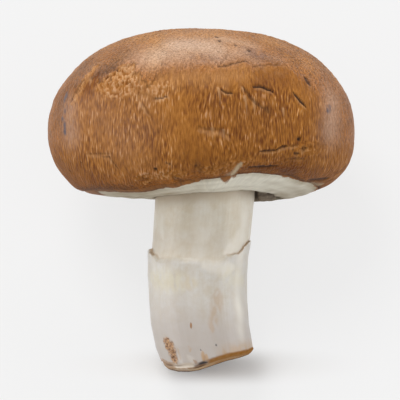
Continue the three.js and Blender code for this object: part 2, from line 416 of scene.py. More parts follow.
# Heights at which the smooth skin of the crown ends in a torn edge, and at which the streaked belt under it
# runs out again towards the margin.
crown_edge = around(
    [(-170, 45), (-152, 46), (-144, 47), (-140, 48), (-134, 46.4), (-131, 47.2)]
    + [(-128, 48.2), (-125, 49.5), (-122, 49.3), (-117, 47.4), (-112, 45.8), (-109, 47), (-107, 48.3)]
    + [(-96, 48.8), (-83, 49), (-75, 49.7), (-70, 50), (-68, 49.1), (-56, 49.7), (-49, 49.5), (-48, 48.1)]
    + [(-44, 47.3), (-41, 46.1), (-36, 45), (-28, 44), (0, 43)]
    + [(30, 43), (60, 46), (90, 47), (120, 44), (150, 43), (170, 40)]
)
belt_foot = around(
    [(-170, 38.6), (-155, 36.5), (-143, 35.5), (-132, 34.2), (-124, 32.9), (-116, 31.2), (-105, 29.6)]
    + [(-90, 29.3), (-70, 29.5), (-60, 30.5), (-50, 31.5), (-37, 33.2), (-24, 34.6), (0, 35), (60, 32)]
    + [(120, 31), (160, 34)]
)

# How far thin skin runs on over the veil's edge, in mm.
skin_over = around(
    [(-180, 3.2), (-163, 3), (-159, 1.8), (-154, 0.7), (-140, 0.8), (-126, 1.1), (-112, 1.5), (-100, 1.3)]
    + [(-93, 0.6), (-86, -0.3), (-50, -0.3), (-44, 0), (-20, -0.3), (-8, -0.1), (0, 1), (60, 0.4), (150, 1)]
)

# Marks in the skin: width and depth in mm (a ridge has a depth under 0), how dark and how pale they are, and
# their (angle, height) points. The dark inside splits, creases and grooves is painted shade.
CAP_MARKS = [
    # short splits under the torn edge, each below an overhanging lip
    (0.30, 0.22, 0.75, 0.3, [(-109, 43.55), (-105.7, 43.63), (-103, 44.03)]),
    (0.34, 0.25, 0.80, 0.4, [(-82.7, 45.13), (-81.1, 44.62), (-77.9, 44.43)]),
    (0.42, 0.32, 1.00, 0.3, [(-69.3, 45.6), (-66.3, 45.67), (-63.8, 45.34), (-61, 44.85)]),
    (0.40, 0.30, 1.00, 0.3, [(-51.6, 44.86), (-50.1, 44.07), (-47.9, 43.18), (-46.2, 42.6)]),
    (0.80, 0.20, 0.80, 0.2, [(-42.2, 47.5), (-41.2, 46.2)]),
    # the long ragged split low on the right, and the dark crease under it
    (0.38, 0.28, 0.85, 0.3, [(-66.5, 34.95), (-63.5, 35.1), (-59.7, 35.23)]),
    (0.40, 0.30, 0.85, 0.3, [(-59.7, 35.23), (-57.1, 35.85), (-54.8, 36)]),
    (0.30, 0.18, 0.35, 0.3, [(-54.8, 36), (-52.3, 36), (-50, 36.4)]),
    (0.75, 0.22, 0.90, 0.1, [(-68.5, 32.45), (-63.5, 32.5), (-59.5, 32.55), (-55.5, 32.7)]),
    (0.45, 0.16, 0.85, 0.2, [(-51, 34.85), (-48.6, 34.8)]),
    (0.50, 0.14, 0.60, 0.3, [(-48.2, 35.9), (-47, 35.5), (-45.8, 35.95)]),
    # creases low in the middle
    (1.20, 0.08, 0.25, 0.0, [(-91.6, 33.4), (-90.5, 32.2), (-89.6, 31.4)]),
    (0.90, 0.06, 0.40, 0.0, [(-102, 30.8), (-98.5, 30.3), (-94.5, 30.3)]),
    # a crease round the middle and one low on the left
    (0.60, 0.12, 0.35, 0.2, [(-90.6, 38.86), (-86, 38.46), (-82.4, 38.47), (-79.2, 37.48)]),
    (0.34, 0.14, 0.35, 0.2, [(-131.1, 34.26), (-127.1, 34.21), (-125.6, 32.92), (-124.9, 32.23)]),
    # pale ridges, each with a groove beside it
    (0.50, -0.14, 0.0, 0.6, [(-83.6, 45.2), (-82.9, 43.9), (-82.6, 41.6)]),
    (0.43, -0.14, 0.0, 0.6, [(-73.9, 45.2), (-73.3, 44.1)]),
    (0.58, -0.16, 0.0, 0.6, [(-73.3, 43.9), (-72.8, 42.9), (-72.4, 40.8)]),
    (0.50, -0.12, 0.0, 0.6, [(-69.6, 42.9), (-69.3, 40.8)]),
    (0.45, -0.10, 0.0, 0.6, [(-57.3, 42.1), (-57.1, 40.2)]),
    (0.55, -0.14, 0.0, 0.5, [(-85.5, 38.6), (-85.3, 36.6)]),
    (0.50, -0.14, 0.0, 0.5, [(-81.2, 38.3), (-81.2, 36.3)]),
    (0.70, 0.18, 0.50, 0.0, [(-73.2, 45.3), (-71.2, 43.9), (-68.9, 42.9), (-66.2, 42.2)]),
    (1.00, 0.14, 0.45, 0.0, [(-65.2, 42.1), (-63.2, 41.5)]),
    (0.60, -0.10, 0.0, 0.45, [(-113.6, 42.77), (-111.2, 41.44), (-108.8, 40.22)]),
    (0.34, 0.12, 0.3, 0.0, [(-112.3, 42.76), (-110.6, 41.75), (-109.2, 40.9)]),
    # the edge where the crown's skin has come away
    (0.34, 0.20, 0.70, 0.3, [(-83.2, 49), (-79.8, 49.1), (-75.5, 49.6), (-70, 50), (-68.6, 49.7)]),
    (0.30, 0.16, 0.45, 0.3, [(-67.8, 49), (-62.8, 49.3), (-55.5, 49.5), (-49.2, 49.5)]),
    (0.36, 0.14, 0.25, 0.2, [(-83.2, 49), (-81.2, 49.9), (-79, 50.7), (-77.5, 51.6)]),
    (0.50, 0.20, 0.55, 0.2, [(-145.8, 47.2), (-147.6, 45.6), (-149.4, 43.6)]),
    # creases near the margin
    (0.50, 0.12, 0.40, 0.2, [(-52.8, 33.9), (-48, 34.1), (-44, 33.9)]),
    (1.10, 0.16, 0.75, 0.2, [(-28, 30.9), (-24, 31), (-20, 31.2), (-15, 31.4)]),
    (0.40, 0.10, 0.30, 0.2, [(-139, 35), (-131, 34.7), (-126, 34.9)]),
]

# Round pits and specks: width and depth in mm, darkness, and (angle, height). The darkness is partly dark
# specks and partly painted shade in the pits.
CAP_SPECKS = [
    (0.80, 0.35, 1.00, (-49.8, 37.13)),
    (0.80, 0.22, 0.90, (-108.8, 32.1)),
    (0.50, 0.15, 0.70, (-102.4, 32.86)),
    (0.60, 0.15, 0.70, (-91.8, 32.56)),
    (0.50, 0.12, 0.60, (-100.5, 30.76)),
    (0.60, 0.12, 0.55, (-144.4, 33.57)),
    (0.50, 0.12, 0.55, (-157.3, 32.41)),
    (0.80, 0.16, 0.90, (-81.6, 54.22)),
    (0.80, 0.16, 0.90, (-80.5, 53.55)),
    (0.80, 0.16, 0.80, (-71.9, 52.7)),
    (0.90, 0.16, 0.80, (-66.1, 51.87)),
    (0.50, 0.12, 0.50, (-132, 50.33)),
    (0.45, 0.12, 0.55, (-52.1, 35.42)),
    (0.45, 0.12, 0.55, (-47.3, 36.07)),
    (0.40, 0.10, 0.90, (-101.2, 30.9)),
    (0.50, 0.10, 0.70, (-103.5, 33)),
]

# Where the skin is crumbled: width in mm, height of the crumbs, how much paler they are (or darker, under 0),
# and (angle, height) points.
CAP_CRUMBS = [
    (1.7, 0.16, 0.40, [(-144, 49.4), (-144.4, 47.8), (-145.4, 46.2), (-146.4, 44.8), (-147.6, 43.4)]),
    (2.2, 0.16, 0.42, [(-127.5, 49), (-125.5, 48.6), (-122.5, 48.6)]),
    (3.0, 0.16, 0.42, [(-131.5, 46.6), (-127, 47.2), (-123, 47.2), (-119, 46.6)]),
    (2.4, 0.14, 0.30, [(-134.5, 45.8), (-128, 45.2), (-120, 45.2), (-114, 45)]),
    (2.2, 0.10, 0.18, [(-114, 45), (-109, 45.4), (-104, 45.8)]),
    (0.8, 0.16, 0.26, [(-119.4, 30.5), (-117, 31.1), (-113.8, 31.3), (-112, 30.9), (-114.4, 30.2)]
     + [(-118, 30)]),
    (1.0, 0.10, -0.35, [(-117.6, 30.6), (-113.6, 30.8)]),
    (1.8, 0.12, 0.08, [(-110, 30.9), (-106, 31.3), (-101, 31.2), (-97, 31.4)]),
    (2.2, 0.10, 0.10, [(-90, 32.1), (-83.5, 31.9), (-76.8, 32.8), (-70, 33.6)]),
    (2.0, 0.12, 0.05, [(-49, 36.2), (-44, 35.7), (-40.8, 35.9), (-34.8, 36)]),
    (2.6, 0.06, -0.16, [(-56, 32.9), (-50, 33.2), (-44, 32.9)]),
]

# Where the skin is torn through to pale flesh: width in mm, strength, and (angle, height) points.
CAP_BARE = [
    (1.00, 0.75, [(-73.2, 33.2), (-74, 32.6), (-74.5, 31.8), (-74.8, 30.9), (-75, 30.2)]),
    (1.80, 0.35, [(-75.4, 31.7), (-75.8, 30.6)]),
    (1.40, 0.55, [(-22, 29.9), (-16, 30.3), (-11, 30.6)]),
]

# Soft bruises: width in mm, strength, and their (angle, height) points.
CAP_BRUISES = [
    (1.5, 0.9, [(-156.5, 45.1), (-154.5, 43.85)]),
    (1.1, 0.7, [(-152.1, 43.1), (-151.9, 41.89)]),
    (1.5, 1.0, [(-153.4, 40.92), (-151.9, 39.79), (-151.1, 38.47)]),
    (1.4, 0.9, [(-33.6, 42), (-31.5, 42.84)]),
    (1.8, 0.2, [(-43.2, 48.14), (-41.2, 46.43)]),
    (2.6, 0.3, [(-69.7, 52.28), (-64, 51.46), (-58.1, 50.67)]),
    (3.0, 0.2, [(-94.6, 50.73), (-88, 50.3), (-82.3, 50.1)]),
]

# Painted highlights, pale and greyish, on the smooth skin of the crown and of the left and right flanks;
# one stroke also pales the run of crumbs at the upper left. Width in mm, strength, and (angle, height)
# points.
CAP_HIGHLIGHTS_AND_PALE = [
    (5.5, 0.72, [(-149, 42.5), (-147, 38.5)]),
    (5.5, 0.90, [(-29, 43.5), (-32, 39)]),
    (6.0, 0.75, [(-119, 50.4), (-110, 50.8), (-100, 51)]),
    (6.0, 1.00, [(-104, 52.6), (-95, 52.6), (-88, 52.4), (-83, 51.6)]),
    (4.5, 0.75, [(-83, 50.6), (-76, 51), (-70, 51.6)]),
    (3.0, 0.38, [(-66, 51.6), (-58, 50.8), (-52, 50.4)]),
    (3.2, 0.50, [(-71, 50.4), (-67, 50.3), (-64.5, 50)]),
    (3.4, 0.60, [(-80, 53.7), (-72, 53.5), (-62, 52.5)]),
    (2.4, 0.40, [(-104, 49.8), (-96, 49.7), (-84, 49.9)]),
    (2.4, 0.50, [(-144, 49), (-146.4, 45)]),
    (11.0, 0.22, [(-138, 43), (-128, 40), (-118, 37)]),
]

# Broad lighter (over 0) and darker patches: width in mm, strength, and (angle, height) points. Some are the
# skin's own blotches, and some are painted light and shade, as marked.
CAP_PATCHES = [
    (5.5, -0.32, [(-156, 49), (-150, 48.4), (-150, 46), (-158, 43)]),
    (2.6, -0.34, [(-133, 49.2), (-138, 48.6), (-140.5, 47.4), (-140, 45.6)]),
    # painted shade: a dark band low on the front, over the veil
    (2.0, -0.30, [(-70, 32.2), (-60, 32.2), (-51, 32.2), (-44, 31.9)]),
    (6.0, -0.07, [(-160, 44), (-156, 38)]),
    # painted highlight along the top of the crown
    (4.5, 0.12, [(-118, 54.2), (-95, 54.8), (-70, 54.4)]),
    (4.0, -0.14, [(-20, 50), (-25, 46), (-10, 43)]),
    (3.0, -0.16, [(-137, 51), (-129, 51)]),
    (5.0, 0.14, [(-111, 43), (-103, 43.2)]),
    (4.0, 0.12, [(-52, 43.6), (-44, 43.6)]),
    (3.6, -0.14, [(-54, 37.2), (-46, 38), (-40, 38.6)]),
    (3.0, 0.12, [(-46, 34.4), (-40, 34.6)]),
    (4.0, 0.20, [(-124, 31.2), (-112, 31.8), (-108, 31.6)]),
    (3.5, -0.12, [(-62, 51), (-50, 50), (-40, 48.5)]),
    (2.6, 0.10, [(-77, 47.6), (-73, 47.8)]),
    (2.6, -0.17, [(-67, 46.2), (-62, 46.8), (-52, 46.4)]),
    (2.6, -0.22, [(-134.5, 48), (-131, 48.4)]),
    (4.0, -0.08, [(-84, 34), (-76, 34)]),
    (7.0, -0.07, [(-62, 41), (-52, 40)]),
    (3.0, -0.14, [(-47, 32.8), (-36, 32.6)]),
    # painted highlight on the crown, right of the middle
    (3.0, 0.16, [(-78.5, 52.2), (-70.8, 52), (-62, 51.6)]),
    (2.6, -0.10, [(-45, 52), (-35, 51.8)]),
    (3.0, -0.12, [(-110, 37), (-109.8, 34.9)]),
    # painted highlight, next to the one on the left flank
    (3.5, 0.10, [(-136.5, 38.9), (-137, 41)]),
    (2.5, 0.10, [(-102.5, 42.1), (-103, 41)]),
]

# Where the belt is smoother (under 0) or rougher: width in mm, change, and (angle, height) points.
CAP_ROUGHNESS = [
    (6.5, -0.45, [(-101, 40), (-96, 36), (-92, 33.5)]),
    (4.0, -0.40, [(-78, 47.6), (-66, 47.4), (-54, 46.6), (-46, 45.5)]),
    (5.0, -0.30, [(-98, 47.5), (-88, 47.2)]),
    (5.0, 0.10, [(-84, 43), (-74, 42), (-62, 41), (-52, 40.5)]),
    (4.0, 0.25, [(-128, 45), (-118, 44.6), (-108, 44.4)]),
]

# How pale the top of the crown is, round the mushroom: partly the skin's own paler top and partly a
# painted highlight, strongest at the front.
summit_pale_and_highlight = around(
    [(-170, 0.3), (-140, 0.35), (-125, 0.8), (-100, 1), (-75, 0.9), (-60, 0.4), (-30, 0.3), (30, 0.5)]
    + [(90, 0.8), (150, 0.5)]
)

# Where the crown's skin runs out softly (1) or in a torn edge (0).
torn_blur = around(
    [(-170, 0.6), (-150, 0.5), (-142, 0), (-112, 0), (-104, 0.8), (-86, 1), (-66, 0.8), (-50, 0.7)]
    + [(-36, 1.2), (0, 1), (90, 1), (170, 0.8)]
)


def zone_strength(points, path, reach):
    """1 along a path across a surface, fading out softly over about this reach in mm."""
    gap, _ = distance_to(points, path)
    return bell(gap, 0, reach)


def mark_strength(points, path, width, sliver=False):
    """1 along a path across a surface, running out at its sides and its two ends. A sliver starts broad and
    thins out to nothing."""
    gap, share = distance_to(points, path)
    if sliver:
        half = width / 2 * (1.1 - share)
        return (1 - smooth(0.3 * half, 1.4 * half, gap)) * (1 - 0.6 * share)
    half = width / 2 * (0.35 + 0.65 * np.sqrt(np.sin(np.pi * np.clip(share, 0.02, 0.98))))
    return 1 - smooth(0.35 * half, 1.5 * half, gap)


def fibre_angles(skin, turn):
    """The angles that the fibres follow: down from the crown, and nearly side by side at the front."""
    upright = -np.degrees(np.arccos(np.clip((skin[..., 0] - CAP_CENTRE_X) / CAP_HALF_WIDTH, -1, 1)))
    side_by_side = smooth(0.1, 0.5, -np.sin(np.radians(turn))) * smooth(54, 50, skin[..., 2])
    return mix(turn, upright, 0.7 * side_by_side)


def crown_cover(turn, height, ragged):
    """Where the crown's smooth skin lies. It runs on down the flanks, and elsewhere it ends in a ragged or a
    soft edge."""
    blur = torn_blur(turn)
    crown = smooth(-0.25 - 1.5 * blur, 0.25 + 0.6 * blur, height - crown_edge(turn) - 1.2 * ragged)
    flank = np.maximum(smooth(-145, -158, turn + 3 * ragged), smooth(-41, -28, turn + 3 * ragged))
    flank *= smooth(-183, -180, turn) + smooth(100, 60, turn) * smooth(-60, -40, turn)
    return np.maximum(crown, 0.9 * np.minimum(flank, 1) * smooth(34.5, 38.5, height + ragged))


def crumble(zones, crumb, ragged, relief, pale):
    """Roughens and pales the zones of crumbled skin, and gives how much lighter every point gets."""
    lighter = np.zeros_like(relief)
    for zone, (_, rise, paler, _) in zip(zones, CAP_CRUMBS):
        relief = relief + 2.2 * rise * zone * (crumb + 0.3)
        zone = zone * smooth(-0.7, -0.2, crumb + 0.4 * ragged)
        lighter = np.where(zone > 0, mix(lighter, paler + 0.32 * crumb, zone), lighter)
        pale = np.maximum(pale, 1.1 * max(paler, 0) * zone * smooth(-0.3, 0.9, crumb))
    return relief, pale, lighter


def carve_marks(points, relief, split, pale):
    """Carves the marks and specks into the skin's relief, and adds their dark insides and pale edges. The
    dark in the splits, creases and pits is painted shade.
    """
    for width, depth, dark, light, spots in CAP_MARKS:
        path = skin_path(spots)
        groove = mark_strength(points, path, width, sliver=depth < 0)
        relief = relief - depth * groove
        split = np.maximum(split, dark * groove)
        lip = mark_strength(points, path + [0, 0, 0.9 * width], 1.5 * width)
        relief = relief + 0.35 * max(depth, 0) * lip
        beside = groove if depth < 0 else mark_strength(points, path - [0, 0, 1.1 * width], 1.6 * width)
        pale = np.maximum(pale, light * beside * (1 - groove if depth > 0 else 1))
    for width, depth, dark, spot in CAP_SPECKS:
        gap = np.linalg.norm(points - on_skin(*spot), axis=-1)
        pit = 1 - smooth(0.2 * width, 0.6 * width, gap)
        relief = relief - depth * pit
        split = np.maximum(split, dark * pit)
    return relief, split, pale


def cap_inside(angle):
    """Rows of points along the lip, the wall of the hollow and its ceiling, on from the skin's edge."""
    edge_level = belly_height(SKIN_END)
    rows = [
        (SKIN_END - 0.012, edge_level + 0.35, 1.0),
        (LIP_REACH, edge_level + 0.9, 1.0),
        (CHAMBER_REACH, edge_level + 1.8, 0.6),
        (CHAMBER_REACH, CEILING - 0.8, 0.0),
        (CHAMBER_REACH - 0.03, CEILING, 0.0),
        (0.4, CEILING, 0.0),
    ]
    return [cap_point(angle, reach, level + wave * margin_lift(angle)) for reach, level, wave in rows]


class CapSettings(bpy.types.PropertyGroup):
    """Sizes and colours of the cap."""

    columns: bpy.props.IntProperty(
        name="Columns", description="Points round the cap's skin, closer together at the front",
        default=660, min=96, max=680,
    )
    rows: bpy.props.IntProperty(
        name="Rows", description="Rows of points from the crown to the margin", default=136, min=40, max=138
    )
    fibre_relief: millimetres("Fibre relief", "How far the skin's fibres stand up", 0.15, 0, 0.3)
    scale_relief: millimetres("Scale relief", "How far the tips of the torn scales stand up", 0.08, 0, 0.4)
    torn_step: millimetres("Torn step", "Thickness of the crown's skin at its torn edge", 0.14, 0, 0.4)
    # Deep between the fibres the colour is partly the skin's own darker brown and partly painted shade.
    valley: colour("Between fibres", "Colour deep between the skin's fibres", "#6E3B06")
    skin: colour("Skin", "Colour of the streaked skin", "#935E1C")
    ridge: colour("Fibres", "Colour of the fibres that stand up", "#AC7430")
    tip: colour("Tips", "Colour of the frayed tips of the scales", "#C99C6F")
    crown: colour("Crown", "Colour of the smooth skin of the crown near its torn edge", "#A26B34")
    # Partly the skin's own paler top and partly a painted highlight.
    summit: colour("Summit", "Colour of the smooth skin on top", "#BC8E5E")
    # Painted highlight colours: the pale, greyish one, and the brighter one on top of the crown.
    highlight_and_pale: colour("Bloom", "Colour of the smooth skin where it has a pale bloom", "#B69178")
    top_highlight: colour("Glow", "Colour of the bloom on top", "#E8C6AA")
    belly: colour("Belly", "Colour of the skin near the margin", "#88500A")
    bare: colour("Bare flesh", "Colour of the flesh where the skin is torn through", "#C3B192")
    # Partly painted shade, in splits, creases and pits and along the torn edge and the margin; partly dark
    # specks.
    split: colour("Splits", "Colour inside splits and pits", "#2C1A10")
    bruise: colour("Bruises", "Colour of bruised skin", "#5B5258")
    flesh: colour("Flesh", "Colour of the cut-through flesh under the skin", "#A08D70")


def cap_skin_material(settings):
    """Cremini skin: a dry, silky skin over flesh, torn into flat fibres that all run from the crown to the
    margin. It gives streaks of light and dark brown a few millimetres long, a smoother, slightly greasy sheen
    on the crown, and dull belly skin that darkens towards the margin. Its colour also carries painted
    highlights on the crown and flanks, and painted shade deep between the fibres and in splits and creases."""
    material, tree, shader = new_material("cremini_skin_dry_fibrous")
    kept = {
        name: add(tree, "ShaderNodeAttribute", attribute_name=name).outputs["Fac"]
        for name in ("tone", "rough", "crown", "top", "belly", "pale", "highlight_and_pale", "bare", "bruise", "split")
    }
    grain_mm = add(tree, "ShaderNodeAttribute", attribute_name="grain").outputs["Vector"]
    patterns = []
    for cells, detail in (
        ((3.2, 3.2, 0.55), 1.0),  # flat fibres, 0.3 mm wide and 1.8 mm long
        ((5.2, 5.2, 0.90), 0.0),  # their strands, 0.2 mm wide: coarser than real ones, to show
        ((2.7, 2.7, 1.50), 1.0),  # the crown's short felt, in grains 0.4 mm wide
        ((0.14, 0.14, 0.14), 2.0),  # patches 7 mm wide where the skin is redder or yellower
    ):
        place = add(tree, "ShaderNodeVectorMath", {0: grain_mm, 1: cells}, operation="MULTIPLY")
        pattern = add(tree, "ShaderNodeTexNoise", {"Vector": place.outputs[0], "Scale": 1.0, "Detail": detail,
                                                   "Roughness": 0.6})
        patterns.append(pattern.outputs[0])
    fibre, strand, felt, patch = patterns

    # The belt's streaks. Their tone follows the relief, so the darkest, deep between the fibres, is partly
    # painted shade.
    spread = add(tree, "ShaderNodeMath", {0: strand, 1: 1.8, 2: -1.5}, operation="MULTIPLY_ADD")
    spread = add(tree, "ShaderNodeMath", {0: fibre, 1: 1.2, 2: spread.outputs[0]}, operation="MULTIPLY_ADD")
    spread = add(tree, "ShaderNodeMath", {0: spread.outputs[0], 1: kept["rough"]}, operation="MULTIPLY")
    level = add(tree, "ShaderNodeMath", {0: kept["tone"], 1: spread.outputs[0]}, operation="ADD",
                use_clamp=True)
    ramp = add(tree, "ShaderNodeValToRGB", {"Fac": level.outputs[0]})
    stops = ramp.color_ramp.elements
    stops[0].position, stops[0].color = 0.0, settings.valley
    stops[1].position, stops[1].color = 1.0, settings.tip
    for position, shade in ((0.42, settings.skin), (0.72, settings.ridge)):
        stops.new(position).color = shade

    # The crown's smooth skin, which a little of the streaks shows through. Its paler top is partly a painted
    # highlight.
    crown = add(tree, "ShaderNodeMix", {0: kept["top"], 6: tuple(settings.crown), 7: tuple(settings.summit)},
                data_type="RGBA")
    crown_shade = add(tree, "ShaderNodeMapRange", {0: felt, 1: 0.3, 2: 0.7, 3: 0.58, 4: 1.42})
    crown_tone = add(tree, "ShaderNodeMath", {0: kept["tone"], 1: 1.1, 2: 0.5}, operation="MULTIPLY_ADD")
    crown_shade = add(tree, "ShaderNodeMath", {0: crown_shade.outputs[0], 1: crown_tone.outputs[0]},
                      operation="MULTIPLY")
    crown = add(tree, "ShaderNodeMix", {0: 1.0, 6: crown.outputs[2], 7: crown_shade.outputs[0]},
                data_type="RGBA", blend_type="MULTIPLY")
    crown = add(tree, "ShaderNodeMix", {0: 0.18, 6: crown.outputs[2], 7: ramp.outputs[0]}, data_type="RGBA")
    belly = add(tree, "ShaderNodeMix", {0: 1.0, 6: tuple(settings.belly), 7: crown_shade.outputs[0]},
                data_type="RGBA", blend_type="MULTIPLY")

    patch_shade = add(tree, "ShaderNodeMapRange", {0: patch, 1: 0.3, 2: 0.7})
    tint = add(tree, "ShaderNodeMix", {0: patch_shade.outputs[0], 6: linear("#E9DFE2"), 7: linear("#FFF6E6")},
               data_type="RGBA")
    # Painted highlight: paler, greyish skin, and brighter on top of the crown, broken up by the felt.
    cloud = add(tree, "ShaderNodeMapRange", {0: felt, 1: 0.3, 2: 0.7, 3: 0.5, 4: 0.95})
    highlight_and_pale = add(tree, "ShaderNodeMath", {0: kept["highlight_and_pale"], 1: cloud.outputs[0]}, operation="MULTIPLY")
    highlight_and_pale_colour = add(tree, "ShaderNodeMix", {0: kept["top"], 6: tuple(settings.highlight_and_pale), 7: tuple(settings.top_highlight)},
                  data_type="RGBA")
    skin = ramp.outputs[0]
    for share, over, how in (
        (kept["crown"], crown.outputs[2], "MIX"),
        (kept["belly"], belly.outputs[2], "MIX"),
        (1.0, tint.outputs[2], "MULTIPLY"),
        (highlight_and_pale.outputs[0], highlight_and_pale_colour.outputs[2], "MIX"),
        (kept["pale"], tuple(settings.tip), "MIX"),
        (kept["bare"], tuple(settings.bare), "MIX"),
        (kept["bruise"], tuple(settings.bruise), "MIX"),
        # painted shade in splits, creases, pits and along edges, and dark specks
        (kept["split"], tuple(settings.split), "MIX"),
    ):
        skin = add(tree, "ShaderNodeMix", {0: share, 6: skin, 7: over},
                   data_type="RGBA", blend_type=how).outputs[2]
    tree.links.new(skin, shader.inputs["Base Color"])

    gloss = add(tree, "ShaderNodeMapRange", {0: kept["crown"], 3: 0.56, 4: 0.36})
    dull = add(tree, "ShaderNodeMath", {0: fibre, 1: 0.12, 2: gloss.outputs[0]}, operation="MULTIPLY_ADD")
    tree.links.new(dull.outputs[0], shader.inputs["Roughness"])
    shader.inputs["IOR"].default_value = 1.40
    shader.inputs["Specular IOR Level"].default_value = 0.3
    grainy = add(tree, "ShaderNodeMath", {0: kept["crown"], 1: 0.9, 2: 0.6}, operation="MULTIPLY_ADD")
    height = add(tree, "ShaderNodeMath", {0: felt, 1: grainy.outputs[0], 2: fibre}, operation="MULTIPLY_ADD")
    bump = add(tree, "ShaderNodeBump", {"Strength": 1.0, "Distance": 0.32 * MM, "Height": height.outputs[0]})
    tree.links.new(bump.outputs["Normal"], shader.inputs["Normal"])
    return material


def flesh_material(settings):
    """Mushroom flesh, broken open: spongy and damp, so it is matt, with cloudy stains 2 mm wide."""
    material, tree, shader = new_material("cremini_flesh_broken")
    place = add(tree, "ShaderNodeTexCoord").outputs["Object"]
    cloud = add(tree, "ShaderNodeTexNoise", {"Vector": place, "Scale": 500.0, "Detail": 4.0})
    shade = add(tree, "ShaderNodeMapRange", {0: cloud.outputs[0], 1: 0.35, 2: 0.7})
    flesh = add(tree, "ShaderNodeMix", {0: shade.outputs[0], 6: tuple(settings.flesh), 7: linear("#7C6A52")},
                data_type="RGBA")
    tree.links.new(flesh.outputs[2], shader.inputs["Base Color"])
    shader.inputs["Roughness"].default_value = 0.75
    bump = add(tree, "ShaderNodeBump", {"Strength": 0.5, "Distance": 0.1 * MM, "Height": cloud.outputs[0]})
    tree.links.new(bump.outputs["Normal"], shader.inputs["Normal"])
    return material


